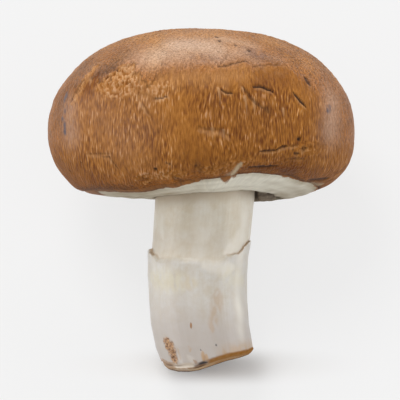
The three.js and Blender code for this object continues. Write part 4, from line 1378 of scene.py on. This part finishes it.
def veil_material(settings):
    """Cremini veil: a thin white membrane, felted from fine threads that run from the cap to the stem, and
    stretched until it tore. It is cottony and matt, with soft folds and a greyer, frayed edge."""
    material, tree, shader = new_material("cremini_veil_cottony_membrane")
    kept = {
        name: add(tree, "ShaderNodeAttribute", attribute_name=name).outputs["Fac"]
        for name in ("shade", "torn", "skin", "shade_line")
    }
    grain_mm = add(tree, "ShaderNodeAttribute", attribute_name="grain").outputs["Vector"]
    # Threads 0.35 mm wide and 3 mm long, running inwards.
    along = add(tree, "ShaderNodeVectorMath", {0: grain_mm, 1: (2.8, 2.8, 0.33)}, operation="MULTIPLY")
    thread = add(tree, "ShaderNodeTexNoise", {"Vector": along.outputs[0], "Scale": 1.0, "Detail": 3.0})
    # Clouds 2.5 mm wide.
    cloud = add(tree, "ShaderNodeTexNoise", {"Vector": grain_mm, "Scale": 0.4, "Detail": 3.0})
    # Painted shade, broken up by random clouds.
    greyed = add(tree, "ShaderNodeMath", {0: cloud.outputs[0], 1: 0.7, 2: -0.35}, operation="MULTIPLY_ADD")
    grey = add(tree, "ShaderNodeMath", {0: kept["shade"], 1: greyed.outputs[0]}, operation="ADD",
               use_clamp=True)
    streak = add(tree, "ShaderNodeMapRange", {0: thread.outputs[0], 1: 0.3, 2: 0.7, 3: 0.9, 4: 1.03})
    # The skin's fibres run on over the rim, and its edge is frayed thread by thread.
    fibres = add(tree, "ShaderNodeMapRange", {0: thread.outputs[0], 1: 0.3, 2: 0.7, 3: 0.65, 4: 1.4})
    skin = add(tree, "ShaderNodeMix", {0: 1.0, 6: tuple(settings.skin), 7: fibres.outputs[0]},
               data_type="RGBA", blend_type="MULTIPLY")
    fray = add(tree, "ShaderNodeMath", {0: thread.outputs[0], 1: 0.9, 2: -0.45}, operation="MULTIPLY_ADD")
    frayed = add(tree, "ShaderNodeMath", {0: kept["skin"], 1: fray.outputs[0]}, operation="ADD")
    skinned = add(tree, "ShaderNodeMapRange", {0: frayed.outputs[0], 1: 0.35, 2: 0.65})
    felt = tuple(settings.light)
    for share, over, how in (
        (grey.outputs[0], tuple(settings.shade), "MIX"),
        (1.0, streak.outputs[0], "MULTIPLY"),
        (kept["torn"], tuple(settings.torn), "MIX"),
        (skinned.outputs[0], skin.outputs[2], "MIX"),
        (kept["shade_line"], tuple(settings.shade_line), "MIX"),
    ):
        felt = add(tree, "ShaderNodeMix", {0: share, 6: felt, 7: over},
                   data_type="RGBA", blend_type=how).outputs[2]
    tree.links.new(felt, shader.inputs["Base Color"])
    shader.inputs["Roughness"].default_value = 0.68
    shader.inputs["IOR"].default_value = 1.40
    bump = add(tree, "ShaderNodeBump", {"Strength": 0.5, "Distance": 0.1 * MM, "Height": thread.outputs[0]})
    tree.links.new(bump.outputs["Normal"], shader.inputs["Normal"])
    return material


class MUSHROOM_OT_add_veil(bpy.types.Operator):
    """Adds the veil: the membrane under the cap, torn open towards one side"""

    bl_idname = "mushroom.add_veil"
    bl_label = "Add veil"

    def execute(self, context):
        settings = context.scene.mushroom_veil
        angle = columns(settings.columns, front=0.4)
        count = len(angle)
        level = angle * 0
        torn = tear(angle)
        frayed = 0.30 * grain(angle, level, TORN_RADIUS, 1.3, 1, 61)
        frayed += 0.14 * grain(angle, level, TORN_RADIUS, 0.5, 1, 62)
        torn = torn + frayed * smooth(0.3, 1.5, torn) * smooth(5.4, 4.6, torn)
        ragged_rim = 0.004 * grain(angle, level, RIM_RADIUS, 4, 1, 63)

        # Rows along the underside to the torn edge, up that edge, and back along the upper side.
        inwards = np.concatenate([np.linspace(PAST_RIM, 0.12, 7), np.linspace(0.12, 1, 24)[1:]])
        rows, shares, sides = [], [], []
        for share in inwards:
            fill = 0.0 if share > 0 else 0.15
            rows.append(veil_point(angle, share + ragged_rim * (share < 0.05), fill, torn))
            shares.append(share)
            sides.append(1.0)
        for thickness, back in ((0.25, 0.0), (0.6, 0.004), (VEIL_THICKNESS, 0.03)):
            rows.append(veil_point(angle, 1 - back, thickness, torn))
            shares.append(1.0)
            sides.append(0.5)
        for share in (0.75, 0.5, 0.3, 0.12, PAST_RIM):
            rows.append(veil_point(angle, share, VEIL_THICKNESS * (0.55 if share < 0.1 else 1), torn))
            shares.append(share)
            sides.append(0.0)
        veil = np.stack(rows)
        follows_solid("veil", veil[2:, ::10], 0.8)
        share = np.broadcast_to(np.array(shares)[:, None], veil.shape[:2])
        side = np.broadcast_to(np.array(sides)[:, None], veil.shape[:2])
        turn = np.broadcast_to(angle, veil.shape[:2])
        length = np.linalg.norm(veil[0] - veil[len(inwards) - 1], axis=-1)
        inward = share * length

        # Folds and ridges on the underside, and puckers along the torn edge.
        under = side * smooth(0, 0.08, share)
        folds = 0.6 * grain(turn + 5 * inward, inward, MIDDLE_RADIUS, 5, 7, 64)
        folds += 0.4 * grain(turn, inward, MIDDLE_RADIUS, 1.6, 4, 65)
        ridges = np.sin(inward * 1.9 + 1.3 * grain(turn, inward, MIDDLE_RADIUS, 9, 5, 66))
        relief = settings.folds / MM * under * (folds + 0.25 * ridges)
        pucker = bell((1 - share) * length, 0, 0.5)
        relief += 0.07 * under * pucker * grain(turn, inward, TORN_RADIUS, 0.8, 2, 67)
        veil[..., 2] -= relief

        # The cap's skin runs on over the rim, and hangs from it in scraps.
        past_skin = inward - skin_over(turn) - 0.40 * grain(turn, inward, RIM_RADIUS, 2.6, 2, 68)
        past_skin -= 0.25 * grain(turn, inward, RIM_RADIUS, 0.7, 1, 69)
        skin = smooth(0.45, -0.45, past_skin)
        for width, strength, spots in VEIL_SCRAPS:
            path = []
            for at, gap in spots:
                share_in = gap / np.interp(at, angle, length)
                path.append(veil_point(np.array([at]), share_in, 0.1, torn=0.0)[0])
            skin = np.maximum(skin, strength * mark_strength(veil, np.array(path), width, sliver=True))
        # Painted shade: on the left a dark line is painted along the edge of that skin, where the cap's
        # margin meets the veil.
        shade_line = 0.75 * bell(past_skin, -0.4, 0.3) * smooth(-104, -116, turn) * smooth(-172, -164, turn)

        # Painted shade: the veil is greyer by angle, least at the front, close under the cap's rim and in its
        # folds, and lighter on its ridges.
        greyer = around(
            [(-180, 0.75), (-140, 0.8), (-120, 0.75), (-100, 0.4), (-70, 0.05), (-45, 0), (-25, 0.35)]
            + [(0, 0.7), (60, 0.6), (120, 0.6)]
        )
        shade = greyer(turn) + 0.35 * smooth(0.15, 0.0, share) + 0.25 * folds - 0.1 * ridges * under
        frayed_edge = 0.8 * pucker * side * smooth(0.3, 1.2, torn)[None, :]
        grain_mm = pattern_place(turn, THREAD_RADIUS, inward)
        values = {"grain": grain_mm, "shade": shade, "torn": frayed_edge, "skin": skin, "shade_line": shade_line}
        values = {label: data.reshape((-1,) + data.shape[2:]) for label, data in values.items()}
        faces = grid_faces(len(veil), count, looped=True)[:, ::-1].tolist()
        add_piece("veil_membrane", veil.reshape(-1, 3), faces, [veil_material(settings)], "veil",
                  values)
        return {"FINISHED"}


# ---------------------------------------------------------------- the gills


class GillSettings(bpy.types.PropertyGroup):
    """Number, size and colours of the gills."""

    count: bpy.props.IntProperty(
        name="Gills", description="Number of gills, short ones included", default=152, min=40, max=320
    )
    thickness: millimetres("Thickness", "Thickness of one gill", 0.22, 0.1, 0.5)
    blade: colour("Gill", "Colour of the gills, brown with spores", "#3E3026")
    edge: colour("Gill edge", "Colour of the gills' thin edges", "#887A69")


def gill_material(settings):
    """Ripe cremini gills: paper-thin blades, dusted with brown spores, so they are dark and have no gloss,
    and they are paler along their thin edges."""
    material, tree, shader = new_material("cremini_gill_spore_brown")
    place = add(tree, "ShaderNodeTexCoord").outputs["Object"]
    # Spore dust in clouds 0.6 mm wide.
    dust = add(tree, "ShaderNodeTexNoise", {"Vector": place, "Scale": 1700.0, "Detail": 3.0})
    shade = add(tree, "ShaderNodeMapRange", {0: dust.outputs[0], 1: 0.3, 2: 0.7, 3: 0.75, 4: 1.2})
    edge = add(tree, "ShaderNodeAttribute", attribute_name="edge").outputs["Fac"]
    blade = add(tree, "ShaderNodeMix", {0: edge, 6: tuple(settings.blade), 7: tuple(settings.edge)},
                data_type="RGBA")
    dusted = add(tree, "ShaderNodeMix", {0: 1.0, 6: blade.outputs[2], 7: shade.outputs[0]}, data_type="RGBA",
                 blend_type="MULTIPLY")
    tree.links.new(dusted.outputs[2], shader.inputs["Base Color"])
    shader.inputs["Roughness"].default_value = 0.85
    bump = add(tree, "ShaderNodeBump", {"Strength": 0.5, "Distance": 0.05 * MM, "Height": dust.outputs[0]})
    tree.links.new(bump.outputs["Normal"], shader.inputs["Normal"])
    return material


def gill_section(angle, share, start, half):
    """A section across a gill, a share of the way from the stem to the wall: six points, at its top, its tip
    and its low edge on both sides, each with how near it is to the thin edge. A gill is thickest where it
    grows from the cap, and a short one starts as a low ridge."""
    here = np.array(angle)
    wall = cap_point(here, 0.7, 0.0)
    inner = stem_point(here, STEM_TOP, GAP)
    inner[..., 2] = wall[..., 2]
    place = mix(inner, wall, share)
    out = share * np.linalg.norm(wall - inner)
    torn = tear(here)
    past = 1 - smooth(max(torn - 1.7, 0.8), max(torn - 0.75, 1.5), out)
    sag = 1.1 * smooth(2, 3.2, torn) * past
    low = underside_height(place, here) + VEIL_THICKNESS + GAP - sag
    top = CEILING - GAP - CAP_ROLL * place[..., 0]
    if start:
        low = mix(top - 0.6, low, smooth(0, 0.18, share - start))
    tip = mix(low, top, 0.12)
    side = np.array([-math.sin(math.radians(here)), math.cos(math.radians(here)), 0])
    section = []
    for height, thick, edge in ((top, 1.25, 0), (tip, 0.8, 0.5), (low, 0.25, 1)):
        offset = side * half * thick
        for sign in (1, -1):
            section.append(([place[0] + sign * offset[0], place[1] + sign * offset[1], float(height)], edge))
    return section


class MUSHROOM_OT_add_gills(bpy.types.Operator):
    """Adds the gills: thin blades from the stem to the wall of the cap, with shorter ones between them"""

    bl_idname = "mushroom.add_gills"
    bl_label = "Add gills"

    def execute(self, context):
        settings = context.scene.mushroom_gills
        rng = np.random.default_rng(71)
        stations = 12
        starts = (0.0, 0.62, 0.36, 0.74)  # of four neighbours, one gill reaches the stem
        loop = (0, 2, 4, 5, 3, 1)  # the order round a section of its six points
        points, edges, faces = [], [], []
        for i in range(settings.count):
            angle = 360 * (i + rng.uniform(-0.22, 0.22)) / settings.count
            start = starts[i % 4] + (rng.uniform(-0.05, 0.05) if i % 4 else 0)
            wave = rng.uniform(-0.5, 0.5, 3)
            first = len(points)
            for share in np.linspace(start, 1, stations):
                # A gill sways by up to half a degree from side to side on its way out.
                bend = 0.5 * (wave[0] * math.sin(3 * share + wave[1]) + wave[2] * math.sin(9 * share))
                for point, edge in gill_section(angle + bend, share, start, settings.thickness / MM / 2):
                    points.append(point)
                    edges.append(edge)
            for station in range(stations - 1):
                here, there = first + 6 * station, first + 6 * (station + 1)
                for m, n in zip(loop, loop[1:] + loop[:1]):
                    faces.append([here + m, there + m, there + n, here + n])
            faces.append([first + k for k in loop])
            faces.append([first + 6 * (stations - 1) + k for k in loop[::-1]])
        add_piece("gills_blades", np.array(points), faces, [gill_material(settings)], "gills",
                  {"edge": np.array(edges, float)})
        return {"FINISHED"}


# ---------------------------------------------------------------- the stage


def watts(name, description, value):
    """A lamp's power setting, in watts."""
    return bpy.props.FloatProperty(
        name=name, description=description, default=value, min=0, max=50, unit="POWER"
    )


class StageSettings(bpy.types.PropertyGroup):
    """Table, lights and camera."""

    floor: colour("Table", "Colour of the table", "#E9E9E9")
    shown: colour("Backdrop", "Colour behind the mushroom as it is seen", "#F2F2F2")
    sky: bpy.props.FloatProperty(
        name="Sky", description="Strength of the even light from all sides", default=0.42, min=0, max=2
    )
    key: watts("Key", "Power of the soft light overhead", 5.3)
    fill: watts("Fill", "Power of the soft light near the camera", 2.0)
    sides: watts("Sides", "Power of each of the two soft lights at the sides", 3.3)
    sheen: watts("Sheen panel", "Power of the long panel behind the crown", 4.5)
    shadow: share_of("Shadow", "How much of the table's shading shows away from the foot", 0.16)
    contact: millimetres("Contact", "How far to each side of the foot more of the shading shows", 32, 1, 100)
    camera_height: bpy.props.FloatProperty(
        name="Camera elevation", description="Angle of the camera above the table",
        default=math.pi / 2 - LEAN - math.radians(3), min=0, max=math.pi / 2,
        unit="ROTATION", subtype="ANGLE",
    )
    distance: bpy.props.FloatProperty(
        name="Distance", description="Distance of the camera", default=2.4, min=0.3, max=10, unit="LENGTH"
    )
    width: bpy.props.FloatProperty(
        name="Width in view", description="Width of what the camera frames at the mushroom", default=0.06536,
        min=0.01, max=1, unit="LENGTH", precision=4,
    )


# The oval of deeper shading at the foot is this many times wider than it is deep.
CONTACT_FLATNESS = 8
TABLE_HALF_SIDE = 6.0


def look(thing, target):
    """Turns a lamp or the camera towards a point."""
    thing.rotation_euler = (Vector(target) - thing.location).to_track_quat("-Z", "Y").to_euler()


def seen_directly(tree):
    """A socket that is 1 for rays that show a thing, straight or by way of gloss or glass, and 0 for those
    that gather its light."""
    ray = add(tree, "ShaderNodeLightPath")
    seen = ray.outputs["Is Camera Ray"]
    for kind in ("Is Glossy Ray", "Is Transmission Ray"):
        seen = add(tree, "ShaderNodeMath", {0: seen, 1: ray.outputs[kind]}, operation="MAXIMUM").outputs[0]
    return seen


def table_material(settings):
    """Matt white laminate. It is seen as an even pale sheet that keeps a part of the mushroom's shadow, and
    lights the mushroom from below as plain laminate does."""
    material, tree, shader = new_material("matt_white_laminate")
    shader.inputs["Base Color"].default_value = settings.floor
    shader.inputs["Roughness"].default_value = 0.8
    sheet = add(tree, "ShaderNodeEmission", {"Color": tuple(settings.shown), "Strength": 1.0})
    seen = seen_directly(tree)
    # Nearly all of the shading shows in a flat oval round the place where the foot touches the table.
    place = add(tree, "ShaderNodeTexCoord").outputs["Object"]
    touch = laid_down(foot_point(np.array([90.0]), 1.0))[0]
    from_foot = add(tree, "ShaderNodeVectorMath", {0: place, 1: tuple(touch)}, operation="SUBTRACT")
    oval = (1 / settings.contact, CONTACT_FLATNESS / settings.contact, 0)
    from_foot = add(tree, "ShaderNodeVectorMath", {0: from_foot.outputs[0], 1: oval}, operation="MULTIPLY")
    from_foot = add(tree, "ShaderNodeVectorMath", {0: from_foot.outputs[0]}, operation="LENGTH")
    evenness = add(tree, "ShaderNodeMapRange", {0: from_foot.outputs["Value"], 1: 0.2, 2: 1.0, 3: 0.1,
                                                4: 1 - settings.shadow}, interpolation_type="SMOOTHSTEP")
    even = add(tree, "ShaderNodeMath", {0: seen, 1: evenness.outputs[0]}, operation="MULTIPLY")
    both = add(tree, "ShaderNodeMixShader", {0: even.outputs[0], 1: shader.outputs[0], 2: sheet.outputs[0]})
    output = next(node for node in tree.nodes if node.type == "OUTPUT_MATERIAL")
    tree.links.new(both.outputs[0], output.inputs["Surface"])
    return material


class MUSHROOM_OT_set_stage(bpy.types.Operator):
    """Adds the table, the soft studio light and the camera"""

    bl_idname = "mushroom.set_stage"
    bl_label = "Set stage"

    def execute(self, context):
        settings = context.scene.mushroom_stage
        scene = context.scene
        scene.view_settings.view_transform = "Standard"

        mesh = bpy.data.meshes.new("table")
        side = TABLE_HALF_SIDE
        corners = [(-side, -side, 0), (side, -side, 0), (side, side, 0), (-side, side, 0)]
        mesh.from_pydata(corners, [], [(0, 1, 2, 3)])
        mesh.materials.append(table_material(settings))
        table = bpy.data.objects.new("table", mesh)
        table.location.z = -0.02 * MM  # a hair under the flesh that is pressed flat on it
        scene.collection.objects.link(table)

        world = bpy.data.worlds.new("studio")
        world.use_nodes = True
        tree = world.node_tree
        tree.nodes.clear()
        light = add(tree, "ShaderNodeBackground", {"Color": (1, 1, 1, 1), "Strength": settings.sky})
        shown = add(tree, "ShaderNodeBackground", {"Color": tuple(settings.shown), "Strength": 1.0})
        share = seen_directly(tree)
        both = add(tree, "ShaderNodeMixShader", {0: share, 1: light.outputs[0], 2: shown.outputs[0]})
        add(tree, "ShaderNodeOutputWorld", {"Surface": both.outputs[0]})
        scene.world = world

        # Soft lamps: name, power in W, size and place in metres.
        lamps = [
            ("key", settings.key, (0.45, 0.45), (-0.28, 0.30, 0.98)),
            ("fill", settings.fill, (0.9, 0.9), (0.05, -0.5, 1.0)),
            ("left", settings.sides, (0.6, 0.6), (-1.05, -0.1, 0.3)),
            ("right", settings.sides, (0.6, 0.6), (1.05, -0.1, 0.3)),
            ("sheen", settings.sheen, (0.9, 0.3), (0.08, 0.95, 0.3)),
        ]
        middle = (cad_box[0] + cad_box[1]) / 2
        for name, power, size, place in lamps:
            lamp = bpy.data.lights.new(name, "AREA")
            lamp.shape = "RECTANGLE"
            lamp.size, lamp.size_y = size
            lamp.energy = power
            thing = bpy.data.objects.new(name, lamp)
            thing.location = place
            look(thing, middle)
            scene.collection.objects.link(thing)

        lens = bpy.data.cameras.new("camera")
        lens.sensor_width = 36
        lens.lens = lens.sensor_width * settings.distance / settings.width
        lens.clip_end = 20
        camera = bpy.data.objects.new("camera", lens)
        aim = Vector(laid_down(np.array([-0.245, 0.0, 28.2])))  # halfway up the mushroom, on its middle line
        tilt = settings.camera_height
        camera.location = aim + settings.distance * Vector((0, -math.cos(tilt), math.sin(tilt)))
        look(camera, aim)
        scene.collection.objects.link(camera)
        scene.camera = camera
        return {"FINISHED"}


# ---------------------------------------------------------------- the add-on


class MUSHROOM_PT_panel(bpy.types.Panel):
    """Lists the mushroom's pieces with their settings"""

    bl_label = "Cremini mushroom"
    bl_idname = "MUSHROOM_PT_panel"
    bl_space_type = "VIEW_3D"
    bl_region_type = "UI"
    bl_category = "Mushroom"

    def draw(self, context):
        for name, (group, operator) in PIECES.items():
            box = self.layout.box()
            settings = getattr(context.scene, name)
            for key in group.__annotations__:
                box.prop(settings, key)
            box.operator(operator.bl_idname)


PIECES = {
    "mushroom_cap": (CapSettings, MUSHROOM_OT_add_cap),
    "mushroom_stem": (StemSettings, MUSHROOM_OT_add_stem),
    "mushroom_veil": (VeilSettings, MUSHROOM_OT_add_veil),
    "mushroom_gills": (GillSettings, MUSHROOM_OT_add_gills),
    "mushroom_stage": (StageSettings, MUSHROOM_OT_set_stage),
}


def register():
    """Registers the settings, the operators and the panel."""
    for name, (group, operator) in PIECES.items():
        bpy.utils.register_class(group)
        bpy.utils.register_class(operator)
        setattr(bpy.types.Scene, name, bpy.props.PointerProperty(type=group))
    bpy.utils.register_class(MUSHROOM_PT_panel)


def unregister():
    """Takes them away again."""
    bpy.utils.unregister_class(MUSHROOM_PT_panel)
    for name, (group, operator) in reversed(list(PIECES.items())):
        delattr(bpy.types.Scene, name)
        bpy.utils.unregister_class(operator)
        bpy.utils.unregister_class(group)


def main():
    """Builds every piece and the stage."""
    register()
    bpy.ops.mushroom.add_cap()
    bpy.ops.mushroom.add_stem()
    bpy.ops.mushroom.add_veil()
    bpy.ops.mushroom.add_gills()
    bpy.ops.mushroom.set_stage()


if __name__ == "__main__":
    main()
